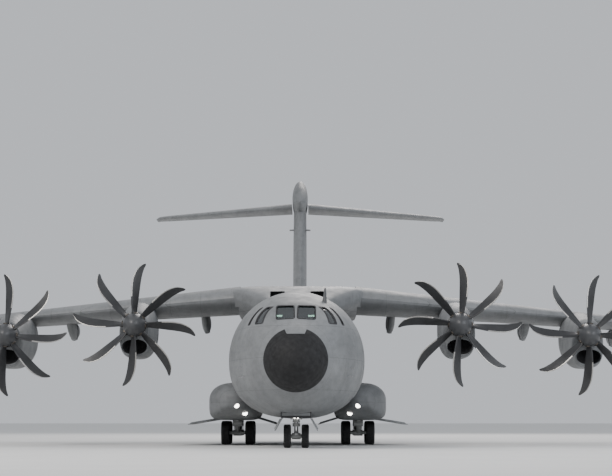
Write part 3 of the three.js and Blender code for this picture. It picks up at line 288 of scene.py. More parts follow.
def joined(name, parts):
    """Several meshes in one object, each still its own closed shell."""
    bm = bmesh.new()
    for part in parts:
        bm.from_mesh(part.data)
        bpy.data.objects.remove(part)
    mesh = bpy.data.meshes.new(name)
    bm.to_mesh(mesh)
    bm.free()
    made = bpy.data.objects.new(name, mesh)
    bpy.context.scene.collection.objects.link(made)
    return made


def flipped(made):
    """Turns a mesh into its mirror image on the aircraft's other side."""
    made.data.transform(Matrix.Scale(-1, 4, (1, 0, 0)))
    made.data.flip_normals()
    return made


SOFT_ANGLE = 35


def softened(made, width, segments=2):
    """Rounds the hard edges. The width is in full-size metres."""
    bevel = made.modifiers.new("soft edges", "BEVEL")
    bevel.width = width * SCALE
    bevel.segments = segments
    bevel.limit_method = "ANGLE"
    bevel.angle_limit = math.radians(SOFT_ANGLE)
    bevel.use_clamp_overlap = True
    return apply_modifiers(made)


def finish_piece(made, name, body, material, slot, replaced=(), angle=32):
    """Names a piece, shades it, and hands it to the frame."""
    made.name = name
    made.data.name = name
    mesh = made.data
    mesh.materials.clear()
    for entry in material if isinstance(material, (list, tuple)) else [material]:
        mesh.materials.append(entry)
    mesh.polygons.foreach_set("use_smooth", [True] * len(mesh.polygons))
    mesh.set_sharp_from_angle(angle=math.radians(angle))
    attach(made, body)
    if replaced:
        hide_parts(*replaced)
    return made


def finish_pair(made, name, body, material, slot, node, angle):
    """Finishes the left piece and its mirror image. The side takes the place of {} in the texts."""
    for label, side in SIDES:
        piece = made if side == LEFT else flipped(copy_of(made))
        texts = [text.format(label) for text in (name, body, node)]
        finish_piece(piece, *texts[:2], material, slot, texts[2:], angle)


# Materials


class Nodes:
    """A few words for building a material's node tree."""

    def __init__(self, name):
        self.material = bpy.data.materials.new(name)
        self.material.use_nodes = True
        self.tree = self.material.node_tree
        self.shader = self.tree.nodes["Principled BSDF"]
        self.coords = self.tree.nodes.new("ShaderNodeTexCoord").outputs["Object"]

    def link(self, source, target):
        self.tree.links.new(source, target)

    def math(self, operation, a, b):
        node = self.tree.nodes.new("ShaderNodeMath")
        node.operation = operation
        for socket, value in zip(node.inputs, (a, b)):
            if isinstance(value, (int, float)):
                socket.default_value = value
            else:
                self.link(value, socket)
        return node.outputs[0]

    def noise(self, scale, detail, roughness=0.55, stretch=(1, 1, 1)):
        mapping = self.tree.nodes.new("ShaderNodeMapping")
        mapping.inputs["Scale"].default_value = stretch
        self.link(self.coords, mapping.inputs["Vector"])
        node = self.tree.nodes.new("ShaderNodeTexNoise")
        node.inputs["Scale"].default_value = scale
        node.inputs["Detail"].default_value = detail
        node.inputs["Roughness"].default_value = roughness
        self.link(mapping.outputs[0], node.inputs["Vector"])
        return node.outputs[0]

    def ramp(self, value, stops):
        node = self.tree.nodes.new("ShaderNodeValToRGB")
        ramp = node.color_ramp
        while len(ramp.elements) < len(stops):
            ramp.elements.new(0.5)
        for element, (position, colour) in zip(ramp.elements, stops):
            element.position = position
            element.color = (*colour, 1) if len(colour) == 3 else colour
        self.link(value, node.inputs["Fac"])
        return node.outputs["Color"]

    def greys(self, value, low, high, start=0.3, end=0.7):
        return self.ramp(value, [(start, (low,) * 3), (end, (high,) * 3)])

    def mix(self, factor, a, b, blend="MIX"):
        node = self.tree.nodes.new("ShaderNodeMix")
        node.data_type = "RGBA"
        node.blend_type = blend
        for socket, value in ((node.inputs[0], factor), (node.inputs[6], a), (node.inputs[7], b)):
            if isinstance(value, (int, float)):
                socket.default_value = value
            elif isinstance(value, tuple):
                socket.default_value = (*value, 1) if len(value) == 3 else value
            else:
                self.link(value, socket)
        return node.outputs[2]

    def bump(self, height, strength, distance):
        node = self.tree.nodes.new("ShaderNodeBump")
        node.inputs["Strength"].default_value = strength
        node.inputs["Distance"].default_value = distance
        self.link(height, node.inputs["Height"])
        self.link(node.outputs[0], self.shader.inputs["Normal"])

    def axis(self, index):
        node = self.tree.nodes.new("ShaderNodeSeparateXYZ")
        self.link(self.coords, node.inputs[0])
        return node.outputs[index]

    def grid_lines(self, index, pitch, width, offset):
        """1 on thin lines that stand pitch apart along an axis, 0 elsewhere."""
        place = self.math("ADD", self.axis(index), offset)
        wrapped = self.math("PINGPONG", place, pitch / 2)
        return self.math("LESS_THAN", wrapped, width / 2)


def scaled(colour, share):
    return tuple(min(1, c * share) for c in colour)


SEAM = 0.0045  # panel line width on the model
SEAM_SHADE = 0.55
PAINT_GRIME = 0.24
PAINT_ROUGHNESS = 0.52


def painted(name, base, lines):
    """Aircraft paint: patchy, streaked along the airflow, with panel lines along the given axes."""
    n = Nodes(name)
    colour = n.ramp(n.noise(0.9, 5, 0.6), [(0.35, scaled(base, 0.84)), (0.65, scaled(base, 1.1))])
    grime = n.greys(n.noise(2.2, 6, 0.65, (4, 0.25, 4)), 1, 1 - PAINT_GRIME, 0.45, 0.75)
    colour = n.mix(1.0, colour, grime, "MULTIPLY")
    speckle = n.noise(60, 3, 0.6)
    colour = n.mix(1.0, colour, n.greys(speckle, 0.95, 1.03), "MULTIPLY")
    seams, *others = [n.grid_lines(*line) for line in lines]
    for other in others:
        seams = n.math("MAXIMUM", seams, other)
    colour = n.mix(seams, colour, n.mix(1.0, colour, (1 - SEAM_SHADE,) * 3, "MULTIPLY"))
    height = n.math("SUBTRACT", n.math("MULTIPLY", speckle, 0.06), seams)
    n.link(colour, n.shader.inputs["Base Color"])
    rough = n.greys(n.noise(3.5, 5, 0.6), PAINT_ROUGHNESS - 0.08, PAINT_ROUGHNESS + 0.1)
    n.link(rough, n.shader.inputs["Roughness"])
    n.bump(height, 0.5, 0.0015)
    return n.material


def plain(name, base, roughness, metallic, variation, scale, bump=0.15, coat=0.0):
    """A finish with soft variation in colour and roughness and a fine bump."""
    n = Nodes(name)
    colours = [(0.3, scaled(base, 1 - variation)), (0.7, scaled(base, 1 + variation))]
    n.link(n.ramp(n.noise(scale, 5, 0.6), colours), n.shader.inputs["Base Color"])
    rough = n.greys(n.noise(scale * 2.3, 4), roughness * 0.85, min(1, roughness * 1.15))
    n.link(rough, n.shader.inputs["Roughness"])
    n.shader.inputs["Metallic"].default_value = metallic
    n.shader.inputs["Coat Weight"].default_value = coat
    n.bump(n.noise(scale * 12, 3), bump, 0.0008)
    return n.material


def glass(name, tint, roughness, alpha):
    n = Nodes(name)
    n.link(n.ramp(n.noise(3, 3), [(0.3, scaled(tint, 0.8)), (0.7, tint)]), n.shader.inputs["Base Color"])
    n.shader.inputs["Roughness"].default_value = roughness
    n.shader.inputs["Alpha"].default_value = alpha
    n.shader.inputs["Coat Weight"].default_value = 0.6
    n.shader.inputs["IOR"].default_value = 1.5
    return n.material


def lit(name, base, glow, strength):
    """A lamp or a lit screen."""
    n = Nodes(name)
    n.link(n.ramp(n.noise(40, 2), [(0.3, scaled(base, 0.8)), (0.7, base)]), n.shader.inputs["Base Color"])
    n.shader.inputs["Roughness"].default_value = 0.15
    n.shader.inputs["Emission Color"].default_value = (*glow, 1)
    n.shader.inputs["Emission Strength"].default_value = strength
    return n.material


GREY = (0.2, 0.208, 0.214)
hull_paint = painted("hull_paint", GREY, [(1, 0.8, SEAM, 0.13), (2, 0.62, SEAM, 0.1)])
wing_paint = painted("wing_paint", GREY, [(0, 0.7, SEAM, 0.1), (1, 0.62, SEAM, 0.2)])
tail_paint = painted("tail_paint", GREY, [(2, 0.75, SEAM, 0.1), (1, 0.9, SEAM, 0.2)])
plane_paint = painted("tailplane_paint", GREY, [(0, 0.72, SEAM, 0.1), (1, 0.8, SEAM, 0.2)])
cowl_paint = painted("cowl_paint", GREY, [(1, 0.55, SEAM, 0.2), (2, 0.9, SEAM, 0.32)])
pod_paint = painted("sponson_paint", GREY, [(1, 0.7, SEAM, 0.05), (2, 0.5, SEAM, 0.05)])
door_paint = painted("gear_door_paint", (0.3, 0.31, 0.315), [(1, 0.4, SEAM, 0.1)])
inside_paint = plain("inside_primer", (0.24, 0.26, 0.2), 0.6, 0, 0.1, 6)
radome_black = plain("radome_coating", (0.008, 0.008, 0.009), 0.75, 0, 0.3, 5, 0.3)
seal_black = plain("rubber_seal", (0.018, 0.018, 0.02), 0.7, 0, 0.2, 20)
window_glass = glass("window_glass", (0.012, 0.018, 0.02), 0.06, 0.72)
blade_black = plain("blade_composite", (0.028, 0.029, 0.031), 0.42, 0, 0.2, 6, 0.15)
blade_edge = plain("blade_edge_metal", (0.42, 0.41, 0.39), 0.35, 0.9, 0.15, 20)
spinner_paint = plain("spinner_paint", (0.06, 0.062, 0.066), 0.4, 0, 0.15, 8)
gear_white = plain("gear_paint", (0.34, 0.345, 0.34), 0.38, 0.0, 0.1, 10, 0.1, 0.2)
chrome = plain("oleo_chrome", (0.75, 0.75, 0.76), 0.16, 1.0, 0.05, 20, 0.05)
tyre_rubber = plain("tyre_rubber", (0.022, 0.022, 0.023), 0.8, 0, 0.25, 14, 0.5)
rim_paint = plain("rim_paint", (0.42, 0.43, 0.42), 0.4, 0.3, 0.15, 12, 0.2)
metal_dark = plain("heat_stained_metal", (0.12, 0.105, 0.09), 0.42, 0.85, 0.3, 9, 0.3)
metal_bare = plain("bare_metal", (0.42, 0.42, 0.43), 0.33, 0.9, 0.15, 12, 0.2)
# near-black painted shade, used where shadow falls: inside the nacelles, at the back of the ram inlets and on
# the nose bay sill
painted_shade = plain("painted_shade", (0.03, 0.03, 0.032), 0.75, 0, 0.2, 8)
panel_black = plain("panel_plastic", (0.03, 0.032, 0.034), 0.6, 0, 0.2, 20)
floor_metal = plain("floor_metal", (0.2, 0.2, 0.2), 0.5, 0.6, 0.25, 10, 0.4)
seat_fabric = plain("seat_fabric", (0.09, 0.095, 0.08), 0.95, 0, 0.25, 60, 0.9)
lamp_glass = lit("lamp_glass", (0.9, 0.9, 0.88), (1.0, 0.97, 0.9), 9.0)
hud_green = lit("combiner_glow", (0.5, 0.9, 0.7), (0.55, 1.0, 0.78), 9.0)
screen_glow = lit("display_glow", (0.05, 0.12, 0.12), (0.1, 0.4, 0.35), 0.6)
lamp_red = lit("lamp_red", (0.6, 0.02, 0.02), (1.0, 0.03, 0.02), 1.2)
lamp_green = lit("lamp_green", (0.02, 0.5, 0.1), (0.03, 1.0, 0.2), 1.2)

# Fuselage


def smooth_curve(xs, ys, x):
    """A curve through points that never overshoots them."""
    steps = np.diff(xs)
    slopes = np.diff(ys) / steps
    tangents = np.zeros(len(xs))
    for i in range(1, len(xs) - 1):
        a, b = slopes[i - 1], slopes[i]
        if a * b > 0:
            w1, w2 = 2 * steps[i] + steps[i - 1], steps[i] + 2 * steps[i - 1]
            tangents[i] = (w1 + w2) / (w1 / a + w2 / b)
    tangents[0], tangents[-1] = slopes[0], slopes[-1]
    i = int(np.clip(np.searchsorted(xs, x) - 1, 0, len(xs) - 2))
    t = (x - xs[i]) / steps[i]
    h00, h10 = 2 * t**3 - 3 * t**2 + 1, t**3 - 2 * t**2 + t
    h01, h11 = -2 * t**3 + 3 * t**2, t**3 - t**2
    bend = h10 * steps[i] * tangents[i]
    return float(h00 * ys[i] + bend + h01 * ys[i + 1] + h11 * steps[i] * tangents[i + 1])


def table_at(table, place):
    """A table's row at any place, on smooth curves through its rows."""
    return [smooth_curve(table[:, 0], table[:, c], place) for c in range(1, table.shape[1])]


def round_nosed(table, station):
    """A table's row for a body that is smooth in the square root of the distance from its tip."""
    tip = table[0, 0]
    here = math.sqrt(max(0.0, station - tip))
    return [smooth_curve(np.sqrt(table[:, 0] - tip), table[:, c], here) for c in range(1, table.shape[1])]


def superellipse(count, half_width, top, middle, bottom, upper, lower):
    points = []
    for k in range(count):
        angle = 2 * math.pi * k / count
        c, s = math.cos(angle), math.sin(angle)
        power = 2 / (upper if s >= 0 else lower)
        reach = top - middle if s >= 0 else middle - bottom
        x = half_width * math.copysign(abs(c) ** power, c)
        points.append((x, middle + reach * math.copysign(abs(s) ** power, s)))
    return points


HULL_SIDES = 96


def hull_ring(station, inset):
    half_width, top, bottom, middle, upper, lower = round_nosed(FUSELAGE, station)
    half_width, top, bottom = max(0.01, half_width - inset), top - inset, bottom + inset
    top, bottom = max(top, middle + 0.01), min(bottom, middle - 0.01)
    outline = superellipse(HULL_SIDES, half_width, top, middle, bottom, upper, lower)
    return [(x, y_of(station), z) for x, z in outline]


def hull_stations(start, end, step):
    """Stations that lie close together where the nose is round."""
    found = [start]
    while found[-1] < end - 1e-6:
        here = found[-1]
        found.append(min(end, here + min(step, 0.012 + 0.16 * here)))
    return found


def hull(name, start, end, inset, step=0.35):
    return loft(name, [hull_ring(s, inset) for s in hull_stations(start, end, step)])


def hull_wall(name, start, end, wall=WALL, step=0.35):
    """An open length of fuselage wall."""
    outer = hull(name, start, end, 0, step)
    return cut(outer, hull("inner", start - 0.05, end + 0.05, wall, step))


def stations_box(start, end, z0, z1, half_width):
    return box("cutter", -half_width, half_width, y_of(start), y_of(end), z0, z1)


CORNER_STEPS = 5


def rounded(points, radius):
    """Rounds the corners of an outline."""
    made = []
    count = len(points)
    for i in range(count):
        before, here, after = (Vector(points[(i + d) % count]) for d in (-1, 0, 1))
        a = (before - here).normalized() * radius + here
        b = (after - here).normalized() * radius + here
        for k in range(CORNER_STEPS + 1):
            t = k / CORNER_STEPS
            made.append(tuple((1 - t) ** 2 * a + 2 * t * (1 - t) * here + t**2 * b))
    return made


def grown(points, amount):
    """An outline pushed outwards."""
    count = len(points)
    area = sum(
        points[i][0] * points[(i + 1) % count][1] - points[(i + 1) % count][0] * points[i][1]
        for i in range(count)
    )
    turn = 1 if area > 0 else -1
    made = []
    for i in range(count):
        before, here, after = (Vector(points[(i + d) % count]) for d in (-1, 0, 1))
        edges = [(here - before).normalized(), (after - here).normalized()]
        normals = [Vector((e.y, -e.x)) * turn for e in edges]
        middle = (normals[0] + normals[1]).normalized()
        made.append(tuple(here + middle * amount / max(0.5, middle.dot(normals[0]))))
    return made


WINDSCREEN = [(0.06, 5.07), (0.755, 5.03), (0.755, 5.59), (0.09, 5.6)]
SIDE_PANES = [
    [(2.22, 4.88), (2.72, 4.88), (3.24, 5.55), (3.0, 5.55)],
    [(3.34, 4.88), (3.74, 4.88), (3.88, 5.55), (3.66, 5.55)],
]
CORNER = 0.07
# how far inside the skin's outer face the two faces of the panes and of their rims lie
PANE_FACES = (0.035, 0.085)
RIM_FACES = (-0.006, 0.05)


def window_cutters(extra=0.0):
    made = []
    for _, side in SIDES:
        outline = rounded(grown([(side * x, z) for x, z in WINDSCREEN], extra), CORNER + extra)
        made.append(prism("cutter", outline, "y", y_of(1.4), y_of(3.35)))
        for pane in SIDE_PANES:
            outline = rounded(grown([(y_of(s), z) for s, z in pane], extra), CORNER + extra)
            made.append(prism("cutter", outline, "x", side * 0.85, side * 2.6))
    return made


TONGUE = {"start": 0.35, "low": 4.41, "low_half": 0.345, "high": 5, "high_half": 0.6}


def tongue(extra=0.0):
    """What the nose's tongue takes out of the radome's top."""
    low, high = TONGUE["low"] - extra, TONGUE["high"]
    near, far = TONGUE["low_half"] + extra, TONGUE["high_half"] + extra
    outline = [(-far, high), (-near, low), (near, low), (far, high)]
    return prism("cutter", outline, "y", y_of(TONGUE["start"]), y_of(RADOME_END + 0.2))


NOSE_BAY = {"half_width": 0.52, "start": 3.75, "end": 6.0, "roof": 2.5}
BAY_LINING = 0.06
BAY_SILL = {"half_width": 0.6, "start": 3.66, "end": 3.72, "bottom": 1.2, "bar_top": 1.285, "web_top": 1.4}
SILL_POST = {"top": 1.5, "width": 0.04}
SMALL_GAP = 0.006
RADOME_WALL = 0.1
NOSE_STEP = 0.12  # between the rings of the nose's meshes


def build_nose():
    """Radome, nose section with its wheel bay, and the windows."""
    radome = hull("radome", 0, RADOME_END - 0.004, 0, 0.1)
    cut(radome, hull("inner", 0.2, RADOME_END + 0.1, RADOME_WALL, 0.1), tongue(SMALL_GAP))
    finish_piece(radome, "radome_shell", "airframe", radome_black, "radome_black", ["radome"])

    nose = hull_wall("nose", RADOME_END, NOSE_END, WALL, NOSE_STEP)
    cap = hull("cap", 0.42, RADOME_END + 0.1, 0, 0.1)
    cut(cap, hull("inner", 0.4, RADOME_END + 0.2, RADOME_WALL, 0.1))
    bay, lining = NOSE_BAY, BAY_LINING
    start, end, half_width = bay["start"], bay["end"], bay["half_width"]
    tub = stations_box(start - lining, end + lining, 1.42, bay["roof"] + lining, half_width + lining)
    united(nose, keep(cap, tongue()), keep(tub, hull("inner", RADOME_END, NOSE_END, 0.03, NOSE_STEP)))
    cut(nose, stations_box(start, end, 0.9, bay["roof"], half_width), *window_cutters())
    finish_piece(nose, "nose_skin", "airframe", hull_paint, "painted_skin", ["nose_section"])
    build_sill()

    def window_skin(name, faces):
        outer, inner = faces
        return cut(hull(name, 1.5, 4.7, outer, NOSE_STEP), hull("inner", 1.4, 4.8, inner, NOSE_STEP))

    panes = window_skin("panes", PANE_FACES)
    keep(panes, united(*window_cutters(0.05)))
    # panes sit in the wall's openings, trimmed to them
    keep(panes, united(*window_cutters(-0.004)))
    finish_piece(panes, "cockpit_panes", "airframe", window_glass, "window_glass", ["cockpit_glass"])
    rims = keep(window_skin("rims", RIM_FACES), united(*window_cutters(0.035)))
    cut(rims, *window_cutters(-0.012))
    finish_piece(rims, "window_rims", "airframe", seal_black, "window_glass")


def build_sill():
    """The bar, posts and web across the belly before the nose wheel bay."""
    sill, post = BAY_SILL, SILL_POST
    reach = sill["half_width"]
    inner = reach - post["width"]
    span = (y_of(sill["start"]), y_of(sill["end"]))
    web = box("web", -inner, inner, span[0] + 0.01, span[1], sill["bar_top"], sill["web_top"])
    finish_piece(web, "nose_bay_web", "airframe", hull_paint, "painted_skin")
    bars = box("bar", -reach, reach, *span, sill["bottom"], sill["bar_top"])
    for _, side in SIDES:
        united(bars, box("post", *sorted((side * reach, side * inner)), *span, sill["bottom"], post["top"]))
    # the bar and posts take the near-black painted shade for the shadow at the bay's opening
    finish_piece(softened(bars, 0.012), "nose_bay_sill", "airframe", painted_shade, "painted_skin")


GROOVE_WIDTH, GROOVE_DEPTH = 0.014, 0.012
EXIT_CORNER = 0.12


def outline_groove(outline, axis, start, end):
    """A narrow ring round an outline, to be taken out of the skin."""
    half = GROOVE_WIDTH / 2
    ring = prism("ring", grown(outline, half), axis, start, end)
    cut(ring, prism("hole", grown(outline, -half), axis, start - 0.2, end + 0.2))
    return ring


def grooves(target, rings, start, end):
    """Takes the rings out of the skin, only as deep as the groove is."""
    band = hull("band", start, end, -0.1)
    cut(band, hull("core", start - 0.1, end + 0.1, GROOVE_DEPTH))
    for ring in rings:
        cut(target, keep(ring, copy_of(band)))
    removed(band)


# start, end, bottom, top, and the length of skin that holds the grooves
FORWARD_EXITS = (9.2, 10.1, 2.9, 4.7, (8.9, 10.4))
REAR_EXITS = (27.0, 28.0, 2.5, 4.7, (26.6, 28.4))


def cut_exits(skin, start, end, bottom, top, band):
    """Draws an exit on each side as a groove in the skin."""
    y0, y1 = y_of(start), y_of(end)
    rings = []
    for _, side in SIDES:
        outline = rounded([(y0, bottom), (y1, bottom), (y1, top), (y0, top)], EXIT_CORNER)
        rings.append(outline_groove(outline, "x", *sorted((side * 1.2, side * 3.2))))
    grooves(skin, rings, *band)


CREW_DOOR = {"start": 6.9, "end": 7.8, "bottom": 2.05, "top": 3.95, "x": 2.253}
CREW_HINGE = {"cove": 0.165, "knuckle": 0.07}
CREW_PORT = {"station": 7.35, "z": 3.3, "radius": 0.13}
# the stretch of skin round the door, and the reach across its wall
CREW_SPAN, CREW_REACH = (6.8, 7.9), (1.5, 3.2)
# count, span along, height and distance out of the lowest, and what each next one adds to the two
CREW_STEPS = {"count": 3, "span": (7.05, 7.65), "z": 2.45, "x": 2.35, "rise": 0.45, "set_out": 0.07}
RUN = 0.016  # running clearance of a moving part


def build_forward():
    door, port = CREW_DOOR, CREW_PORT
    start, end, bottom, top = (door[key] for key in ("start", "end", "bottom", "top"))

    def along_hinge(name, inset, radius, sides):
        ends = [(door["x"], y_of(s), bottom) for s in (start + inset, end - inset)]
        return bar(name, *ends, radius, None, sides)

    def port_bar(radius):
        y = y_of(port["station"])
        return bar("port", (2.3, y, port["z"]), (3.1, y, port["z"]), radius, None, 32)

    skin = hull_wall("skin", NOSE_END, FORWARD_END)
    whole = copy_of(skin)
    hole = box("cutter", *CREW_REACH, y_of(start), y_of(end), bottom, top)
    cut(skin, hole, along_hinge("cutter", 0, CREW_HINGE["cove"], 32))
    cut_exits(skin, *FORWARD_EXITS)
    finish_piece(skin, "forward_skin", "airframe", hull_paint, "painted_skin", ["forward_fuselage"])

    room = box("cutter", *CREW_REACH, y_of(start + RUN), y_of(end - RUN), bottom, top - RUN)
    leaf = keep(whole, room)
    united(leaf, along_hinge("knuckle", RUN, CREW_HINGE["knuckle"], 24))
    cut(leaf, port_bar(port["radius"]))
    finish_piece(leaf, "crew_door_leaf", "crew_door", hull_paint, "painted_skin", ["crew_door"])
    pane = cut(hull("pane", start, end, 0.03), hull("inner", *CREW_SPAN, 0.06))
    keep(pane, port_bar(port["radius"] - 0.001))
    finish_piece(pane, "crew_door_port", "crew_door", window_glass, "window_glass")
    steps, size = [], CREW_STEPS
    span = [y_of(s) for s in size["span"]]
    for k in range(size["count"]):
        z = size["z"] + size["rise"] * k
        x = size["x"] + size["set_out"] * k
        steps.append(softened(box("step", x - 0.14, x + 0.1, *span, z, z + 0.03), 0.01))
    made = keep(joined("steps", steps), hull("inner", *CREW_SPAN, WALL - 0.01))
    finish_piece(made, "crew_door_steps", "crew_door", metal_bare, "painted_skin")


def build_center():
    skin = hull_wall("skin", FORWARD_END, CENTER_END)
    finish_piece(skin, "center_skin", "airframe", hull_paint, "painted_skin", ["center_fuselage"])


# Rear fuselage, ramp and cargo door

RAMP = {"station": 28.6, "z": 1.853, "nose": 0.41, "half_width": 2.0, "end": 34.0, "depth": 0.42}
COVE_CLEARANCE = 0.03
ARC_SIDES = 240  # of the large round faces where the ramp and the cargo door meet
CLEATS = {"count": 12, "first": 0.4, "pitch": 0.4, "spans": ((-1.8, -0.5), (0.5, 1.8))}
CARGO_DOOR = {"station": 38.7, "z": 4.335, "nose": 0.07, "half_width": 0.5}


def rear_plan(widen):
    ramp, door = RAMP["half_width"] + widen, CARGO_DOOR["half_width"] + widen
    front, meeting, back = y_of(RAMP["station"]), y_of(RAMP["end"]), y_of(CARGO_DOOR["station"])
    outline = [(-ramp, front), (ramp, front), (ramp, meeting), (door, back), (-door, back), (-ramp, meeting)]
    return prism("plan", outline, "z", 0, 4.9)


def across(centre, half_width, radius, sides=48):
    return bar("across", (-half_width, *centre), (half_width, *centre), radius, None, sides)


def build_rear():
    hinge = (y_of(RAMP["station"]), RAMP["z"])
    door_hinge = (y_of(CARGO_DOOR["station"]), CARGO_DOOR["z"])
    meeting = (y_of(RAMP["end"]), round_nosed(FUSELAGE, RAMP["end"])[2])
    ramp_reach = math.dist(meeting, hinge) - RUN / 2
    door_reach = math.dist(meeting, door_hinge) - RUN / 2

    skin = hull_wall("skin", CENTER_END, REAR_END, WALL, 0.3)
    cut(
        skin,
        rear_plan(0),
        across(hinge, RAMP["half_width"], RAMP["nose"] + COVE_CLEARANCE),
        across(door_hinge, CARGO_DOOR["half_width"], CARGO_DOOR["nose"] + COVE_CLEARANCE),
    )
    cut_exits(skin, *REAR_EXITS)
    finish_piece(largest(skin), "rear_skin", "airframe", hull_paint, "painted_skin", ["rear_fuselage"])

    slab = hull("slab", RAMP["station"], RAMP["end"] + 0.5, 0, 0.3)
    keep(slab, rear_plan(-RUN))
    keep(slab, across(hinge, 3, ramp_reach, ARC_SIDES))
    cut(slab, across(door_hinge, 3, door_reach + RUN, ARC_SIDES))
    nose = across(hinge, RAMP["half_width"] - RUN, RAMP["nose"], 48)
    keep(nose, hull("room", RAMP["station"] - 0.6, RAMP["end"], 0, 0.3))
    united(slab, nose)
    top = meeting[1] + RAMP["depth"]
    under = [
        (y_of(RAMP["station"] - 0.6), 0),
        (y_of(RAMP["end"] + 0.5), 0),
        (y_of(RAMP["end"] + 0.5), top),
        (y_of(RAMP["end"]), top),
        (y_of(RAMP["station"]), FLOOR_TOP),
        (y_of(RAMP["station"] - 0.6), FLOOR_TOP),
    ]
    ramp = largest(keep(slab, prism("under", under, "x", -3, 3)))
    body = "cargo_ramp"
    finish_piece(ramp, "cargo_ramp_slab", body, [hull_paint, floor_metal], "painted_skin", [body])
    for face in ramp.data.polygons:
        face.material_index = 1 if face.normal.z > 0.5 else 0

    slope = (top - FLOOR_TOP) / (RAMP["end"] - RAMP["station"])
    cleats = []
    for k in range(CLEATS["count"]):
        station = RAMP["station"] + CLEATS["first"] + CLEATS["pitch"] * k
        z = FLOOR_TOP + slope * (station - RAMP["station"])
        for x0, x1 in CLEATS["spans"]:
            cleat = box("cleat", x0, x1, y_of(station), y_of(station + 0.05), z - 0.01, z + 0.025)
            cleats.append(softened(cleat, 0.008))
    finish_piece(joined("cleats", cleats), "ramp_cleats", "cargo_ramp", metal_bare, "cargo_floor")

    door = hull_wall("door", RAMP["end"] - 1, CARGO_DOOR["station"], WALL, 0.3)
    keep(door, rear_plan(-RUN))
    keep(door, across(door_hinge, 3, door_reach, ARC_SIDES))
    cut(door, across(hinge, 3, ramp_reach + RUN, ARC_SIDES))
    united(door, across(door_hinge, CARGO_DOOR["half_width"] - RUN, CARGO_DOOR["nose"]))
    finish_piece(largest(door), "cargo_door_skin", "cargo_door", hull_paint, "painted_skin", ["cargo_door"])

    cone = hull("cone", REAR_END, TAIL_END, 0, 0.2)
    cut(cone, hull("inner", REAR_END - 0.05, REAR_END + 1.6, WALL, 0.2))
    finish_piece(cone, "tail_cone_skin", "airframe", hull_paint, "painted_skin", ["tail_cone"])


# Flying surfaces

WING_ROOT = (2.6, 14.9, 6.62)
ANHEDRAL, INCIDENCE, CAMBER = 3.2, 3.0, 0.015
# distance out, leading edge aft, chord, thickness
WING = np.array(
    [
        [0, 0, 7.3, 0.168],
        [6.7, 2.06, 5.55, 0.152],
        [13.4, 4.2, 4.05, 0.13],
        [17.9, 5.68, 3.05, 0.12],
        [18.35, 5.98, 2.62, 0.11],
        [18.62, 6.62, 1.75, 0.04],
    ]
)
WING_TIP = 17.9  # where the rounded tip begins
FLAPS = (
    ("inner_flap", 0.35, 6.55, 0.92, (1.8, 5.4)),
    ("outer_flap", 6.75, 13.3, 0.83, (8.2, 12.6)),
)
FLAP = {"nose": 0.7, "hinge": 0.745, "shroud_end": 0.81, "skin": 0.05}
AILERON = {"from": 13.7, "to": 17.6, "hinge": 0.75}
TRAILING_EDGE = 0.012


def half_thickness(x):
    return 5 * (0.2969 * math.sqrt(x) - 0.126 * x - 0.3516 * x**2 + 0.2843 * x**3 - 0.1036 * x**4)


def section(chord, ratio, camber=0.0, count=22):
    """A wing section's outline as (aft, up), from the trailing edge over the top to the nose and back."""
    upper, lower = [], []
    for k in range(count):
        x = 0.5 + 0.5 * math.cos(math.pi * k / count)
        bend = camber * chord * 4 * x * (1 - x)
        thick = max(chord * ratio * half_thickness(x), TRAILING_EDGE * min(1, chord / 3))
        upper.append((x * chord, bend + thick))
        lower.append((x * chord, bend - thick))
    return upper + [(0, 0)] + lower[::-1]


def row_at(table, place):
    i = int(np.clip(np.searchsorted(table[:, 0], place), 1, len(table) - 1))
    a, b = table[i - 1], table[i]
    return [float(v) for v in a + (b - a) * (place - a[0]) / (b[0] - a[0])]


ROW_STEP = 1.2
TIP_ROWS = 14


def spread(table, straight_to):
    """Rows along a surface: straight up to a place, then a rounded tip."""
    rows = []
    stops = [r[0] for r in table if r[0] <= straight_to]
    for a, b in zip(stops[:-1], stops[1:]):
        count = max(1, round((b - a) / ROW_STEP))
        rows += [row_at(table, a + (b - a) * k / count) for k in range(count)]
    tip = table[table[:, 0] >= straight_to]
    for k in range(TIP_ROWS + 1):
        place = straight_to + (tip[-1, 0] - straight_to) * math.sin(0.5 * math.pi * k / TIP_ROWS)
        rows.append([place] + table_at(tip, place))
    return rows


def panel(name, rows, camber=0.0):
    """A wing-like skin through rows of place, leading edge aft, chord and thickness."""
    rings = []
    for out, aft, chord, ratio in rows:
        rings.append([(out, aft + u, v) for u, v in section(chord, ratio, camber)])
    return loft(name, rings)


def panel_matrix(root, droop, pitch):
    """A panel's own frame: rolled down by its droop and pitched up by its incidence."""
    x, station, z = root
    turn = Matrix.Rotation(math.radians(droop), 4, "Y") @ Matrix.Rotation(math.radians(-pitch), 4, "X")
    turn.translation = Vector((x, y_of(station), z))
    return turn


WING_FRAME = panel_matrix(WING_ROOT, ANHEDRAL, INCIDENCE)


def split_control(surface, a, b, radius_a, radius_b, up, clearance):
    """Parts a control surface, with a round nose on its hinge line, from what carries it."""
    along = (b - a).normalized()
    matrix = frame_at(a, along, up)
    length = (b - a).length
    moving = keep(copy_of(surface), move(box("aft", RUN, length - RUN, 0, 8, -2, 2), matrix))
    united(moving, bar("nose", a + along * RUN, b - along * RUN, radius_a, radius_b, 40))
    room = move(box("room", 0, length, 0, 9, -2, 2), matrix)
    fixed = cut(surface, room, bar("cove", a, b, radius_a + clearance, radius_b + clearance, 40))
    return largest(fixed), largest(moving)


# distance aft of the hinge, half width, top and bottom above the hinge as shares of its depth
CANOE = np.array(
    [
        [-2.3, 0.03, 1.0, 0.86],
        [-2.2, 0.08, 1.0, 0.76],
        [-1.4, 0.18, 1.0, 0.3],
        [-0.2, 0.21, 1.0, -0.1],
        [1.0, 0.18, 0.97, 0.12],
        [1.9, 0.08, 0.92, 0.58],
        [2.0, 0.03, 0.9, 0.66],
    ]
)


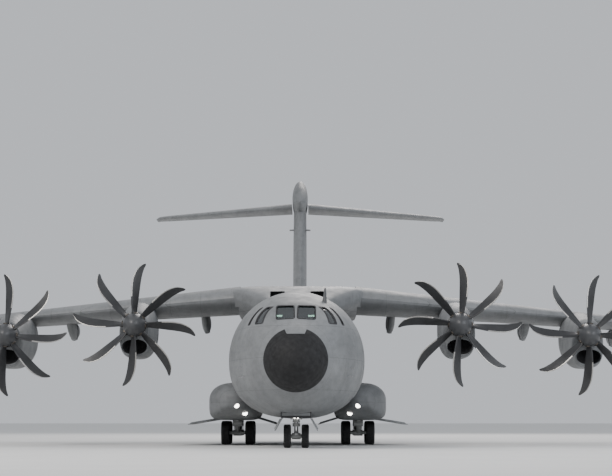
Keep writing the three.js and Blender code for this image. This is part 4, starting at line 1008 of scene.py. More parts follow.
CANOE_SPLIT = (-0.16, 0.14)  # where the fixed front ends and the moving rear begins, from the hinge
LUG = {"half_width": 0.05, "radius": 0.1}
CHEEK = {"inner": 0.062, "outer": 0.1, "radius": 0.085}
FLAP_PIN_RADIUS = 0.045


def canoe(matrix, place, depth, slope):
    """A hinge fairing along the airflow, askew of the swept hinge by the slope."""
    rings = []
    for aft in np.linspace(CANOE[0, 0], CANOE[-1, 0], 40):
        half_width, top, bottom = table_at(CANOE, aft)
        middle = (top + bottom) / 2 * depth
        outline = superellipse(28, half_width, top * depth, middle, bottom * depth, 2.2, 2.2)
        rings.append([(place + slope * aft + x, aft, z) for x, z in outline])
    return move(loft("canoe", rings), matrix)


def split_flap(surface, start, end, depth, places):
    """Parts a slotted flap and its hinge fairings from the wing."""

    def on_chord(out):
        _, aft, chord, _ = row_at(WING, out)
        return Vector((out, aft + FLAP["hinge"] * chord, -depth))

    a, b = on_chord(start), on_chord(end)
    along = (b - a).normalized()
    matrix = frame_at(a, along, (0, 0, 1))
    length = (b - a).length

    def at_end(out):
        _, _, chord, ratio = row_at(WING, out)
        bend = CAMBER * chord * 4 * FLAP["hinge"] * (1 - FLAP["hinge"])
        top = depth + bend + chord * ratio * half_thickness(FLAP["hinge"])
        nose, shroud = (FLAP[name] - FLAP["hinge"] for name in ("nose", "shroud_end"))
        return top, nose * chord * along.x, shroud * chord * along.x

    (top0, nose0, shroud0), (top1, nose1, shroud1) = at_end(start), at_end(end)

    def wedge(u0, u1, near, far, near_end=9, far_end=9):
        outline = [(u0, near), (u1, far), (u1, far_end), (u0, near_end)]
        return move(prism("wedge", outline, "z", depth - 0.75, depth + 2), matrix)

    def drum(grow):
        ends = [matrix @ Vector((x, 0, 0)) for x in (-0.01, length + 0.01)]
        return bar("drum", *ends, top0 - FLAP["skin"] + grow, top1 - FLAP["skin"] + grow, 96)

    plan = keep(copy_of(surface), wedge(RUN, length - RUN, nose0, nose1))
    under = wedge(-0.01, length + 0.01, -4, -4, shroud0 + RUN, shroud1 + RUN)
    flap = largest(cut(copy_of(plan), cut(under, drum(-RUN))))
    room = keep(wedge(0, length, nose0 - RUN, nose1 - RUN), drum(0))
    cut(surface, room, wedge(0, length, shroud0, shroud1))

    for out in places:
        place = (out - start) / along.x

        def local(x0, x1, y0, y1, z0, z1):
            return move(box("local", place + x0, place + x1, y0, y1, z0, z1), matrix)

        def pin(x0, x1, radius):
            ends = [matrix @ Vector((place + x, 0, 0)) for x in (x0, x1)]
            return bar("pin", *ends, radius, None, 24)

        whole = canoe(matrix, place, depth, along.y / along.x)
        nose_aft = nose0 + (nose1 - nose0) * place / length
        front = keep(copy_of(whole), local(-1, 1, -4, CANOE_SPLIT[0], -2, 2.5))
        cut(front, local(-1, 1, nose_aft - RUN, 1, depth - 0.42, 2.5), copy_of(plan))
        half = LUG["half_width"]
        lug = united(local(-half, half, -0.4, 0, -0.06, 0.16), pin(-half, half, LUG["radius"]))
        united(surface, largest(front), lug)
        united(flap, keep(whole, local(-1, 1, CANOE_SPLIT[1], 4, -2, 2.5)))
        inner, outer = CHEEK["inner"], CHEEK["outer"]
        for x0, x1 in ((-outer, -inner), (inner, outer)):
            united(flap, united(pin(x0, x1, CHEEK["radius"]), local(x0, x1, 0, 0.3, -0.03, 0.14)))
        united(flap, pin(-outer, outer, FLAP_PIN_RADIUS))
    removed(plan)
    return largest(surface), largest(flap)


def build_wings():
    wing = panel("wing", spread(WING, WING_TIP), CAMBER)

    def hinge_at(out):
        _, aft, chord, ratio = row_at(WING, out)
        hinge = AILERON["hinge"]
        bend = CAMBER * chord * 4 * hinge * (1 - hinge)
        return Vector((out, aft + hinge * chord, bend)), chord * ratio * half_thickness(hinge)

    (a, radius_a), (b, radius_b) = hinge_at(AILERON["from"]), hinge_at(AILERON["to"])
    wing, aileron = split_control(wing, a, b, radius_a, radius_b, (0, 0, 1), 0.022)
    parts = {"aileron": aileron}
    for name, *row in FLAPS:
        wing, parts[name] = split_flap(wing, *row)
    parts["wing"] = wing
    for name, part in parts.items():
        move(part, WING_FRAME)
        node = name + "_{}"
        body = "airframe" if name == "wing" else node
        finish_pair(part, name + "_skin_{}", body, wing_paint, "painted_skin", node, 28)

    # a lamp along each tip's leading edge
    for label, side in SIDES:
        edge = []
        for k in range(7):
            out = WING_TIP + 0.05 + 0.06 * k
            edge.append((out, smooth_curve(WING[3:, 0], WING[3:, 1], out) + 0.02, 0))
        lens = move(pipe("lens", edge, 0.045, 16), WING_FRAME)
        colour = lamp_red
        if side == RIGHT:
            lens, colour = flipped(lens), lamp_green
        finish_piece(lens, f"tip_lamp_{label}", "airframe", colour, "window_glass")


# station, half width, top, widest height
FAIRING = np.array(
    [
        [12.1, 1.1, 6.3, 6.1],
        [13.2, 1.75, 6.62, 6.15],
        [14.2, 2.4, 6.92, 6.4],
        [14.9, 2.85, 7.08, 6.65],
        [15.8, 3.0, 7.17, 6.35],
        [16.8, 3.0, 7.19, 6.15],
        [19.6, 2.95, 7.17, 6.1],
        [22.4, 2.7, 6.93, 6.1],
        [24.6, 2.0, 6.58, 6.1],
        [26.0, 1.1, 6.3, 6.1],
    ]
)
FAIRING_BOTTOM = 5.5
FAIRING_EDGE = 2.66
RAM_INLETS = {"x": (0.57, 1.21), "station": (12.4, 14.4), "z": (6.5, 6.83)}


def build_fairing():
    rings = []
    for station in np.linspace(FAIRING[0, 0], FAIRING[-1, 0], 64):
        half_width, top, middle = table_at(FAIRING, station)
        outline = superellipse(96, half_width, max(top, middle + 0.1), middle, FAIRING_BOTTOM, 6, 2)
        rings.append([(x, y_of(station), z) for x, z in outline])
    fairing = loft("fairing", rings)
    cut(fairing, hull("inside", 11.5, 26.5, 0.05, 0.5))
    backs = []
    z0, z1 = RAM_INLETS["z"]
    start, end = (y_of(station) for station in RAM_INLETS["station"])
    for _, side in SIDES:
        x0, x1 = sorted(side * x for x in RAM_INLETS["x"])
        cut(fairing, box("inlet", x0, x1, start, end, z0, z1))
        # a near-black plate at each inlet's back is painted shade for the deep recess
        backs.append(box("back", x0 + 0.01, x1 - 0.01, end - 0.06, end - 0.02, z0 + 0.01, z1 - 0.01))
        under = sorted((side * FAIRING_EDGE, side * 4))
        cut(fairing, box("under", *under, y_of(11), y_of(27), 5, 6.2))
    finish_piece(joined("backs", backs), "ram_inlet_shade_plates", "airframe", painted_shade, "painted_skin")
    made = largest(fairing)
    finish_piece(made, "wing_fairing_skin", "airframe", hull_paint, "painted_skin", ["wing_fairing"], 30)


# Engines

# distance aft of the disc, half width, top and bottom from the shaft
NACELLE = np.array(
    [
        [0.3, 0.64, 0.56, -1.36],
        [0.75, 0.69, 0.74, -1.43],
        [1.9, 0.7, 0.98, -1.44],
        [3.4, 0.72, 1.13, -1.4],
        [5.0, 0.7, 1.14, -1.2],
        [6.6, 0.6, 1.04, -0.86],
        [8.0, 0.4, 0.96, -0.42],
        [8.7, 0.26, 0.9, -0.1],
    ]
)
NACELLE_FRONT, NACELLE_BACK, NACELLE_LIP = 0.3, 8.64, 0.06
COWL_POWER, CHIN_POWER = 2.3, 2.8
COWL_SEAMS = (1.2, 2.6, 4.3)
# faces between these distances, and nearer the middle than this power sum, lie inside and get painted shade
INSIDE_SPAN, INSIDE_SUM = (0.345, 8.6), 0.86
# first and last distance aft of the disc, and radius
ENGINE_BAY = (1.0995, 3.7005, 0.47)
SHAFT_BORE = (0.2, 1.2, 0.14)
# distance aft of the disc, half width, middle from the shaft, half height
INTAKE_DUCT = np.array(
    [
        [0.24, 0.57, -0.95, 0.345],
        [0.3, 0.555, -0.95, 0.33],
        [0.36, 0.54, -0.95, 0.318],
        [0.8, 0.44, -0.84, 0.3],
        [1.25, 0.3, -0.36, 0.28],
    ]
)
EXHAUST_DUCT = np.array(
    [
        [3.6, 0.3, 0, 0.3],
        [5.4, 0.3, -0.42, 0.28],
        [8.0, 0.24, -0.2, 0.2],
        [8.9, 0.24, 0.0, 0.2],
    ]
)
PROPELLER_RADIUS = 2.665
BLADES = 8
BLADE_REST = 0.07
# distance along the axis and radius
SPINNER = [(-0.78, 0.0), (-0.768, 0.07), (-0.71, 0.19), (-0.58, 0.31), (-0.38, 0.415), (-0.2, 0.475)]
SPINNER += [(0, 0.51), (0.25, 0.52)]
SHAFT = [(0.2, 0.12), (1.09, 0.12)]
BLADE_COLLAR = [(0.44, 0.15), (0.515, 0.15), (0.53, 0.135), (0.54, 0.1)]
BLADE_ROOT = 0.34  # radius at which a blade's mesh begins
BLADE_TIP = 0.1  # length over which its tip is rounded
# radius, chord, pitch in degrees, sweep
BLADE = np.array(
    [
        [0.3, 0.26, 62, 0],
        [0.6, 0.36, 55.5, -0.04],
        [0.9, 0.42, 50, -0.06],
        [1.23, 0.45, 43.5, -0.07],
        [1.56, 0.46, 38, -0.065],
        [1.9, 0.44, 33, -0.04],
        [2.4, 0.32, 27.5, 0.1],
        [2.665, 0.14, 24, 0.3],
    ]
)
# a blade's mesh: rings from root to tip, points round each, and the part under the metal leading edge
BLADE_ROWS, BLADE_POINTS = 40, 29
EDGE_ROWS, EDGE_COLUMNS = (12, 39), 3


def nacelle_ring(engine, aft, inset=0.0):
    x, z, disc = engine
    half_width, top, bottom = table_at(NACELLE, aft)
    top, bottom = top - inset, bottom + inset
    outline = superellipse(72, half_width - inset, top, (top + bottom) / 2, bottom, COWL_POWER, CHIN_POWER)
    return [(x + u, y_of(disc + aft), z + v) for u, v in outline]


def duct(engine, table):
    x, z, disc = engine
    rings = []
    for aft in np.linspace(table[0, 0], table[-1, 0], 28):
        half_width, middle, half = table_at(table, aft)
        outline = superellipse(48, half_width, middle + half, middle, middle - half, 2.2, 2.2)
        rings.append([(x + u, y_of(disc + aft), z + v) for u, v in outline])
    return loft("duct", rings)


def inside_cowl(engine, spot):
    """Whether a place lies inside a nacelle, clear of its skin, lip and end: the faces that get painted
    shade.
    """
    x, z, disc = engine
    aft = spot.y - y_of(disc)
    if not INSIDE_SPAN[0] < aft < INSIDE_SPAN[1]:
        return False
    half_width, top, bottom = table_at(NACELLE, aft)
    u = abs(spot.x - x) / half_width
    v = abs(spot.z - z - (top + bottom) / 2) / ((top - bottom) / 2)
    return u**COWL_POWER + v**COWL_POWER < INSIDE_SUM


def build_nacelle(engine, label):
    x, z, disc = engine

    def along(start, end, radius):
        return bar("along", (x, y_of(disc + start), z), (x, y_of(disc + end), z), radius, None, 48)

    front, back, lip = NACELLE_FRONT, NACELLE_BACK, NACELLE_LIP
    rings = []
    for k in range(6):
        turn = math.pi / 2 * k / 6
        rings.append(nacelle_ring(engine, front + lip * (1 - math.cos(turn)), lip * (1 - math.sin(turn))))
    rings += [nacelle_ring(engine, aft) for aft in np.linspace(front + lip, back, 60)]
    for turn in (0.5, 1.0, 1.5):
        rings.append(nacelle_ring(engine, back + lip * math.sin(turn), lip * (1 - math.cos(turn))))
    body = loft("nacelle", rings)
    cut(body, duct(engine, INTAKE_DUCT), duct(engine, EXHAUST_DUCT))
    cut(body, along(*ENGINE_BAY), along(*SHAFT_BORE))
    for aft in COWL_SEAMS:
        seam = loft("seam", [nacelle_ring(engine, aft + d, -0.05) for d in (-0.007, 0.007)])
        cut(seam, loft("core", [nacelle_ring(engine, aft + d, 0.012) for d in (-0.02, 0.02)]))
        cut(body, seam)
    body = largest(body)
    materials = [cowl_paint, painted_shade]
    finish_piece(body, f"cowling_{label}", "airframe", materials, "painted_skin", [f"nacelle_{label}"], 40)
    # faces inside the nacelle get the near-black painted shade
    for face in body.data.polygons:
        face.material_index = 1 if inside_cowl(engine, face.center / SCALE) else 0


def blade_mesh(hand):
    """One scimitar blade, standing up from the shaft's axis."""
    rings = []
    for k in range(BLADE_ROWS):
        share = 1 - (1 - k / (BLADE_ROWS - 1)) ** 1.25
        radius = BLADE_ROOT + (PROPELLER_RADIUS - BLADE_ROOT) * share
        chord, pitch, sweep = table_at(BLADE, radius)
        short = max(0.0, (radius - PROPELLER_RADIUS + BLADE_TIP) / BLADE_TIP)
        fullness = math.sqrt(max(0.03, 1 - short**2))
        round_root = max(0.0, (0.64 - radius) / 0.3)
        chord *= 0.3 + 0.7 * fullness
        thickness = (0.18 * (1.3 - radius / 3) * (1 - round_root) + 0.62 * round_root) * chord
        turn = math.radians(pitch)
        ring = []
        for u, v in section(1.0, 1.0, 0.0, BLADE_POINTS // 2):
            along = (u - 0.5) * chord + sweep
            out = v * thickness + 0.03 * chord * (1 - (2 * u - 1) ** 2)
            side = along * math.cos(turn) - out * math.sin(turn)
            aft = along * math.sin(turn) + out * math.cos(turn)
            ring.append((hand * side, aft, radius))
        rings.append(ring)
    return loft("blade", rings)


def build_propeller(engine, hand, label):
    x, z, disc = engine
    centre = Matrix.Translation((x, y_of(disc), z))
    body = f"propeller_{label}"
    slot = "blade_composite"
    blades, collars = [], []
    for k in range(BLADES):
        place = centre @ Matrix.Rotation(2 * math.pi * k / BLADES + BLADE_REST, 4, "Y")
        blades.append(move(blade_mesh(hand), place))
        collars.append(move(turned("collar", (0, 0, 0), (0, 0, 1), BLADE_COLLAR, 32), place))
    made = joined("blades", blades)
    finish_piece(made, f"blades_{label}", body, [blade_black, blade_edge], slot, [body], 50)
    per_blade = len(made.data.polygons) // BLADES
    for face in made.data.polygons:
        row, column = divmod(face.index % per_blade, BLADE_POINTS)
        near_edge = abs(column + 0.5 - BLADE_POINTS // 2) < EDGE_COLUMNS
        face.material_index = 1 if near_edge and EDGE_ROWS[0] <= row < EDGE_ROWS[1] else 0
    finish_piece(joined("collars", collars), f"blade_collars_{label}", body, metal_dark, slot, (), 40)
    spinner = turned("spinner", (x, y_of(disc), z), (0, 1, 0), SPINNER, 96)
    shaft = turned("shaft", (x, y_of(disc), z), (0, 1, 0), SHAFT, 32)
    finish_piece(joined("spinner", [spinner, shaft]), f"spinner_{label}", body, spinner_paint, slot, (), 40)


def build_engines():
    for x, z, disc, hand, label in ENGINES:
        build_nacelle((x, z, disc), label)
        build_propeller((x, z, disc), hand, label)


# Tail

# height, station of the leading edge, chord, thickness
FIN = np.array([[5.4, 32.0, 9.0, 0.08], [6.9, 33.5, 8.2, 0.088], [13.0, 38.7, 5.2, 0.135]])
RUDDER = {"from": 7.45, "to": 12.4, "hinge": 0.7}
# station, half width, top, bottom
BULLET = np.array(
    [
        [37.7, 0.04, 13.32, 13.24],
        [38.1, 0.26, 13.72, 12.98],
        [38.9, 0.4, 14.3, 12.72],
        [40.2, 0.44, 14.67, 12.6],
        [42.2, 0.43, 14.55, 12.6],
        [43.6, 0.3, 14.1, 12.72],
        [44.6, 0.06, 13.5, 13.2],
    ]
)
TAILPLANE_ROOT = (0.46, 39.3, 13.15)
TAILPLANE_DROOP = 2.5
TAILPLANE_TIP = 7.3  # where the rounded tip begins
# distance out, leading edge aft, chord, thickness
TAILPLANE = np.array(
    [
        [0, 0, 4.6, 0.11],
        [7.3, 3.1, 2.45, 0.105],
        [7.72, 3.38, 2.1, 0.1],
        [7.95, 4.05, 1.75, 0.03],
    ]
)
ELEVATOR = {"from": 0.5, "to": 7.1, "hinge": 0.68}
FIN_STRAKE = {"station": 37.9, "z": 11.74, "reach": 0.59}
NOSE_SHARE = 0.97  # of a control's nose radius to the local half thickness


def fin_loft(widen=1.0):
    rings = []
    for height in np.linspace(FIN[0, 0], FIN[-1, 0], 14):
        z, leading, chord, ratio = row_at(FIN, height)
        rings.append([(v * widen, y_of(leading) + u, z) for u, v in section(chord, ratio)])
    return loft("fin", rings)


def build_fin():
    def hinge_at(z):
        _, leading, chord, ratio = row_at(FIN, z)
        radius = chord * ratio * half_thickness(RUDDER["hinge"]) * NOSE_SHARE
        return Vector((0, y_of(leading) + RUDDER["hinge"] * chord, z)), radius

    (a, radius_a), (b, radius_b) = hinge_at(RUDDER["from"]), hinge_at(RUDDER["to"])
    fin, rudder = split_control(fin_loft(), a, b, radius_a, radius_b, (-1, 0, 0), 0.03)
    finish_piece(rudder, "rudder_skin", "rudder", tail_paint, "composite_skin", ["rudder"], 28)
    cut(fin, hull("inside", 31.5, TAIL_END, 0.03, 0.4))
    finish_piece(largest(fin), "fin_skin", "airframe", tail_paint, "composite_skin", ["fin"], 28)

    rings = []
    for k in range(61):
        station = BULLET[0, 0] + (BULLET[-1, 0] - BULLET[0, 0]) * (0.5 - 0.5 * math.cos(math.pi * k / 60))
        half_width, top, bottom = table_at(BULLET, station)
        outline = superellipse(64, half_width, top, (top + bottom) / 2, bottom, 2, 2)
        rings.append([(x, y_of(station), z) for x, z in outline])
    bullet = loft("bullet", rings)
    room = move(box("room", 0, (b - a).length, -2, 9, -2, 2), frame_at(a, b - a, (-1, 0, 0)))
    cut(bullet, keep(room, fin_loft(1.6)))
    finish_piece(largest(bullet), "tail_bullet", "airframe", tail_paint, "composite_skin")

    strake = FIN_STRAKE
    tip, root, back = (y_of(strake["station"] + d) for d in (0.55, 0, 0.85))
    reach = strake["reach"]
    outline = [(-reach, tip), (0, root), (reach, tip), (reach, back), (-reach, back)]
    strakes = softened(prism("strake", outline, "z", strake["z"] - 0.03, strake["z"] + 0.03), 0.02)
    finish_piece(strakes, "fin_strakes", "airframe", tail_paint, "composite_skin")


def build_tailplane():
    plane = panel("plane", spread(TAILPLANE, TAILPLANE_TIP))

    def hinge_at(out):
        _, aft, chord, ratio = row_at(TAILPLANE, out)
        radius = chord * ratio * half_thickness(ELEVATOR["hinge"]) * NOSE_SHARE
        return Vector((out, aft + ELEVATOR["hinge"] * chord, 0)), radius

    (a, radius_a), (b, radius_b) = hinge_at(ELEVATOR["from"]), hinge_at(ELEVATOR["to"])
    plane, elevator = split_control(plane, a, b, radius_a, radius_b, (0, 0, 1), 0.022)
    matrix = panel_matrix(TAILPLANE_ROOT, TAILPLANE_DROOP, 0)
    move(plane, matrix)
    move(elevator, matrix)
    keep(plane, box("side", TAILPLANE_ROOT[0], 12, -60, 60, 0, 20))
    for made, name, body in ((plane, "tailplane", "tailplane"), (elevator, "elevator", "elevator_{}")):
        finish_pair(made, name + "_skin_{}", body, plane_paint, "composite_skin", name + "_{}", 28)


# Sponsons and gear

# station, outer reach, top, bottom, inner reach
SPONSON = np.array(
    [
        [12.4, 3.02, 2.12, 1.8, 2.72],
        [12.7, 3.43, 2.45, 1.5, 2.2],
        [13.4, 3.76, 2.68, 1.28, 1.9],
        [14.6, 3.94, 2.78, 1.16, 1.75],
        [16.2, 3.99, 2.8, 1.12, 1.7],
        [22.2, 3.99, 2.8, 1.12, 1.7],
        [24.2, 3.7, 2.6, 1.2, 1.8],
        [26, 3.28, 2.3, 1.45, 2.1],
        [27, 2.95, 2.0, 1.75, 2.3],
    ]
)
WELL = {"inner": 1.93, "outer": 3.6, "start": 16.35, "end": 21.35, "mouth": 1.2, "roof": 2.3}
# distance out, station and height
LANDING_LAMPS = ((2.3, 13.12, 1.43), (2.65, 12.64, 1.755))
LANDING_LENS = [(0, 0.11), (0.2, 0.11), (0.22, 0.1), (0.235, 0.06), (0.24, 0.0)]


def sponson_ring(station):
    outer, top, bottom, inner = round_nosed(SPONSON, station)
    outline = superellipse(80, (outer - inner) / 2, top, (top + bottom) / 2, bottom, 2.3, 5)
    return [((outer + inner) / 2 + x, y_of(station), z) for x, z in outline]


def in_well(spot):
    """Whether a place on a sponson's skin belongs to its wheel well."""
    well, slack = WELL, 0.01
    across_well = well["inner"] - slack < abs(spot.x) < well["outer"] + slack
    along_well = y_of(well["start"]) - slack < spot.y < y_of(well["end"]) + slack
    return across_well and along_well and well["mouth"] < spot.z < well["roof"] + slack


def build_sponsons():
    start, end = SPONSON[0, 0], SPONSON[-1, 0]
    stations = [start + (k / 16) ** 2 for k in range(16)] + list(np.linspace(start + 1, end, 44))
    body = loft("sponson", [sponson_ring(s) for s in stations])
    span = (y_of(WELL["start"]), y_of(WELL["end"]))
    cut(body, box("well", WELL["inner"], WELL["outer"], *span, 0, WELL["roof"]))
    cut(body, hull("inside", start - 0.5, end + 0.5, 0.02, 0.4))
    body = largest(body)
    materials = [pod_paint, inside_paint]
    for label, side in SIDES:
        made = body if side == LEFT else flipped(copy_of(body))
        name, node = f"sponson_skin_{label}", f"sponson_{label}"
        finish_piece(made, name, "airframe", materials, "painted_skin", [node], 34)
        for face in made.data.polygons:
            face.material_index = 1 if in_well(face.center / SCALE) else 0
        lamps = []
        for x, station, z in LANDING_LAMPS:
            lamps.append(turned("lamp", (side * x, y_of(station), z), (0, -1, 0), LANDING_LENS, 32))
        finish_piece(joined("lamps", lamps), f"landing_lamps_{label}", "airframe", lamp_glass, "window_glass")


AXLE_RADIUS = 0.08
NOSE_WHEEL = {"station": 5.0, "radius": 0.475, "half_width": 0.15, "offset": 0.36}
MAIN_WHEEL = {"radius": 0.545, "half_width": 0.195, "offset": 0.55, "x": 2.76}
MAIN_AXLES = (17.2, 18.85, 20.5)
GROOVES = (-0.42, -0.14, 0.14, 0.42)  # shares of the tread's half width
# from the hub side to the tread, as shares of the half width and of the radius
SIDEWALL = [(-0.62, 0.53), (-0.8, 0.56), (-0.93, 0.64), (-1.0, 0.76)]
SIDEWALL += [(-0.98, 0.86), (-0.88, 0.935), (-0.74, 0.975), (-0.6, 0.993)]
RIM = [(0.6, 0.0), (0.6, 0.13), (0.5, 0.16), (0.34, 0.2), (0.3, 0.42), (0.5, 0.47), (0.64, 0.5), (0.68, 0.55)]
RIM_BOLTS = 9
LEG_LEAD = 0.62  # how far a main leg stands ahead of its axle
KNEE_HEIGHT = 0.98


def tyre(centre, radius, half_width):
    """A tyre with a grooved tread, as a ring about its axle."""
    r, w = radius, half_width
    tread = []
    for place in GROOVES:
        tread += [(place - 0.045, 1.0), (place - 0.035, 0.965), (place + 0.035, 0.965), (place + 0.045, 1.0)]
    outline = SIDEWALL + tread + [(-u, v) for u, v in SIDEWALL[::-1]]
    rings = [ring_about((centre.x + u * w, centre.y, centre.z), (1, 0, 0), v * r, 72) for u, v in outline]
    return loft("tyre", rings, True)


def rim(centre, radius, half_width):
    r, w = radius, half_width
    profile = [(-u * w, v * r) for u, v in RIM] + [(u * w, v * r) for u, v in RIM[::-1]]
    made = [turned("rim", centre, (1, 0, 0), profile, 48)]
    for face in (-1, 1):
        for k in range(RIM_BOLTS):
            turn = 2 * math.pi * k / RIM_BOLTS
            spot = centre + Vector((face * 0.3 * w, 0.31 * r * math.cos(turn), 0.31 * r * math.sin(turn)))
            made.append(bar("bolt", spot, spot + Vector((face * 0.025, 0, 0)), 0.016, None, 8))
    return joined("rim", made)


def cross_bar(centre, reach, radius):
    """A round bar from side to side through a place, such as an axle or the eye round it."""
    out = Vector((reach, 0, 0))
    return bar("cross bar", centre - out, centre + out, radius, None, 32)


def build_wheel_pair(name, centre, wheel):
    tyres, rims = [], []
    for side in (-1, 1):
        place = centre + Vector((side * wheel["offset"], 0, 0))
        tyres.append(tyre(place, wheel["radius"], wheel["half_width"]))
        rims.append(rim(place, wheel["radius"], wheel["half_width"]))
    rims.append(cross_bar(centre, wheel["offset"] + 0.05, AXLE_RADIUS - 0.002))
    finish_piece(joined("tyres", tyres), f"{name}_tyres", name, tyre_rubber, "tyre_rubber", [name], 40)
    finish_piece(joined("rims", rims), f"{name}_rims", name, rim_paint, "gear_paint", (), 30)


def build_main_gear():
    w, well = MAIN_WHEEL, WELL
    roof = well["roof"]
    span = (y_of(well["start"] + 0.15), y_of(well["end"] - 0.35))
    for label, side in SIDES:
        x = w["x"] * side
        legs = [softened(box("beam", x - 0.22, x + 0.22, *span, roof - 0.14, roof), 0.02)]
        pistons, hoses = [], []
        for station in MAIN_AXLES:
            axle = Vector((x, y_of(station), w["radius"]))
            knee = Vector((x, y_of(station - LEG_LEAD), KNEE_HEIGHT))
            top = Vector((x, y_of(station - LEG_LEAD), roof - 0.05))
            damper_top = Vector((x, y_of(station + 0.02), roof - 0.05))
            damper_foot = axle + Vector((0, 0.02, 0.08))
            middle = damper_foot.lerp(damper_top, 0.5)
            legs += [
                bar("leg", knee, top, 0.13, 0.14, 32),
                cross_bar(knee, 0.2, 0.14),
                bar("arm", knee, axle, 0.12, 0.105, 32),
                bar("damper", middle, damper_top, 0.075, None, 32),
                bar("collar", middle, middle.lerp(damper_top, 0.12), 0.088, None, 32),
                cross_bar(axle, 0.2, 0.14),
            ]
            pistons.append(bar("piston", damper_foot, middle, 0.05, None, 24))
            for lean in (-0.1, 0.1):
                route = [
                    top + Vector((lean, 0.16, -0.1)),
                    knee + Vector((lean * 1.2, 0.18, 0.35)),
                    knee + Vector((lean * 1.4, 0.3, 0.08)),
                    axle + Vector((lean * 1.5, -0.1, 0.16)),
                ]
                hoses.append(pipe("hose", smooth_route(route), 0.016, 10))
        node = f"main_gear_legs_{label}"
        made = joined("legs", legs)
        finish_piece(made, f"main_legs_{label}", "airframe", gear_white, "gear_paint", [node], 40)
        made = joined("pistons", pistons)
        finish_piece(made, f"main_pistons_{label}", "airframe", chrome, "gear_paint", (), 40)
        made = joined("hoses", hoses)
        finish_piece(made, f"main_hoses_{label}", "airframe", seal_black, "tyre_rubber", (), 60)
        for k, station in enumerate(MAIN_AXLES):
            build_wheel_pair(f"main_wheels_{label}_{k + 1}", Vector((x, y_of(station), w["radius"])), w)


ROUTE_STEPS = 8


def smooth_route(points):
    """Points along a soft curve through a few places."""
    path = [Vector(p) for p in points]
    made = []
    for i in range(len(path) - 1):
        before, after = path[max(i - 1, 0)], path[min(i + 2, len(path) - 1)]
        a, b = path[i], path[i + 1]
        for k in range(ROUTE_STEPS):
            t = k / ROUTE_STEPS
            out = (b - before) / 2
            into = (after - a) / 2
            h = (2 * t**3 - 3 * t**2 + 1, t**3 - 2 * t**2 + t, -2 * t**3 + 3 * t**2, t**3 - t**2)
            made.append(h[0] * a + h[1] * out + h[2] * b + h[3] * into)
    return made + [path[-1]]


LEG_LENS = [(0, 0.02), (0.02, 0.026), (0.06, 0.03), (0.07, 0.026), (0.074, 0)]


def build_nose_gear():
    w, bay = NOSE_WHEEL, NOSE_BAY
    y, roof = y_of(w["station"]), bay["roof"]
    axle = Vector((0, y, w["radius"]))
    lug = (y_of(bay["start"] + 0.1), y_of(bay["start"] + 0.4), roof - 0.2, roof)

    def above(z):
        return Vector((0, y, z))

    strut = [
        bar("casing", above(1.02), above(roof), 0.13, None, 40),
        bar("collar", above(1.02), above(1.1), 0.15, None, 40),
        bar("collar", above(1.3), above(1.36), 0.15, None, 40),
        bar("brace", above(1.3), (0, y_of(bay["start"] + 0.25), roof - 0.1), 0.06, None, 24),
        bar("trunnion", (-0.4, y, roof - 0.12), (0.4, y, roof - 0.12), 0.09, None, 32),
        softened(box("lug", -0.12, 0.12, *lug), 0.015),
    ]
    for side in (-1, 1):
        ends = [(side * 0.19, y + 0.02, z) for z in (1.14, 1.42)]
        strut.append(bar("steering", *ends, 0.045, None, 20))
        strut.append(bar("bracket", (side * 0.1, y, 1.22), (side * 0.2, y, 1.22), 0.03, None, 16))
    made = joined("strut", strut)
    finish_piece(made, "nose_strut", "airframe", gear_white, "gear_paint", ["nose_gear_strut"], 40)

    lamps = []
    for side in (-1, 1):
        lamps.append(turned("lamp", (side * 0.07, y - 0.1, 1.2), (0, -1, 0), LEG_LENS, 24))
    finish_piece(joined("lamps", lamps), "nose_leg_lamps", "airframe", lamp_glass, "window_glass")

    fork = [
        bar("collar", above(0.86), above(1.0), 0.15, None, 40),
        bar("yoke", above(w["radius"]), above(0.7), 0.11, 0.085, 32),
        cross_bar(axle, 0.18, 0.13),
        softened(box("tow", -0.07, 0.07, y_of(w["station"] - 0.3), y, 0.5, 0.6), 0.012),
        bar("link", (0, y, 0.62), (0, y + 0.26, 0.8), 0.035, None, 20),
        bar("link", (0, y + 0.26, 0.8), (0, y + 0.08, 0.93), 0.035, None, 20),
        bar("link pin", (-0.06, y + 0.26, 0.8), (0.06, y + 0.26, 0.8), 0.03, None, 16),
    ]
    body = "nose_gear_fork"
    finish_piece(joined("fork", fork), "nose_fork", body, gear_white, "gear_paint", [body], 40)
    piston = bar("piston", above(0.68), above(1.24), 0.083, None, 40)
    finish_piece(piston, "nose_piston", body, chrome, "gear_paint", (), 40)
    build_wheel_pair("nose_wheels", axle, w)


# spans along the aircraft, hinge and free edge as (x, z)
MAIN_DOOR_SPANS = ((16.4, 18.0), (18.05, 19.65), (19.7, 21.3))
NOSE_DOOR_SPAN = (4.0, 5.95)
GEAR_DOORS = (
    ("outer_gear_doors", MAIN_DOOR_SPANS, (3.68, 1.15), (5.0, 0.93), 0.035),
    ("inner_gear_doors", MAIN_DOOR_SPANS, (1.86, 1.213), (0.94, 0.93), 0.035),
    ("nose_gear_door", (NOSE_DOOR_SPAN,), (0.565, 1.2), (0.86, 0.69), 0.03),
)
# shares of a leaf's width at the foot and the crest of its ribs, and at its stringers
RIB_SHARES = ((0.06, 0.94), (0.1, 0.88))
STRINGERS = (0.3, 0.66)
RIBS = 4


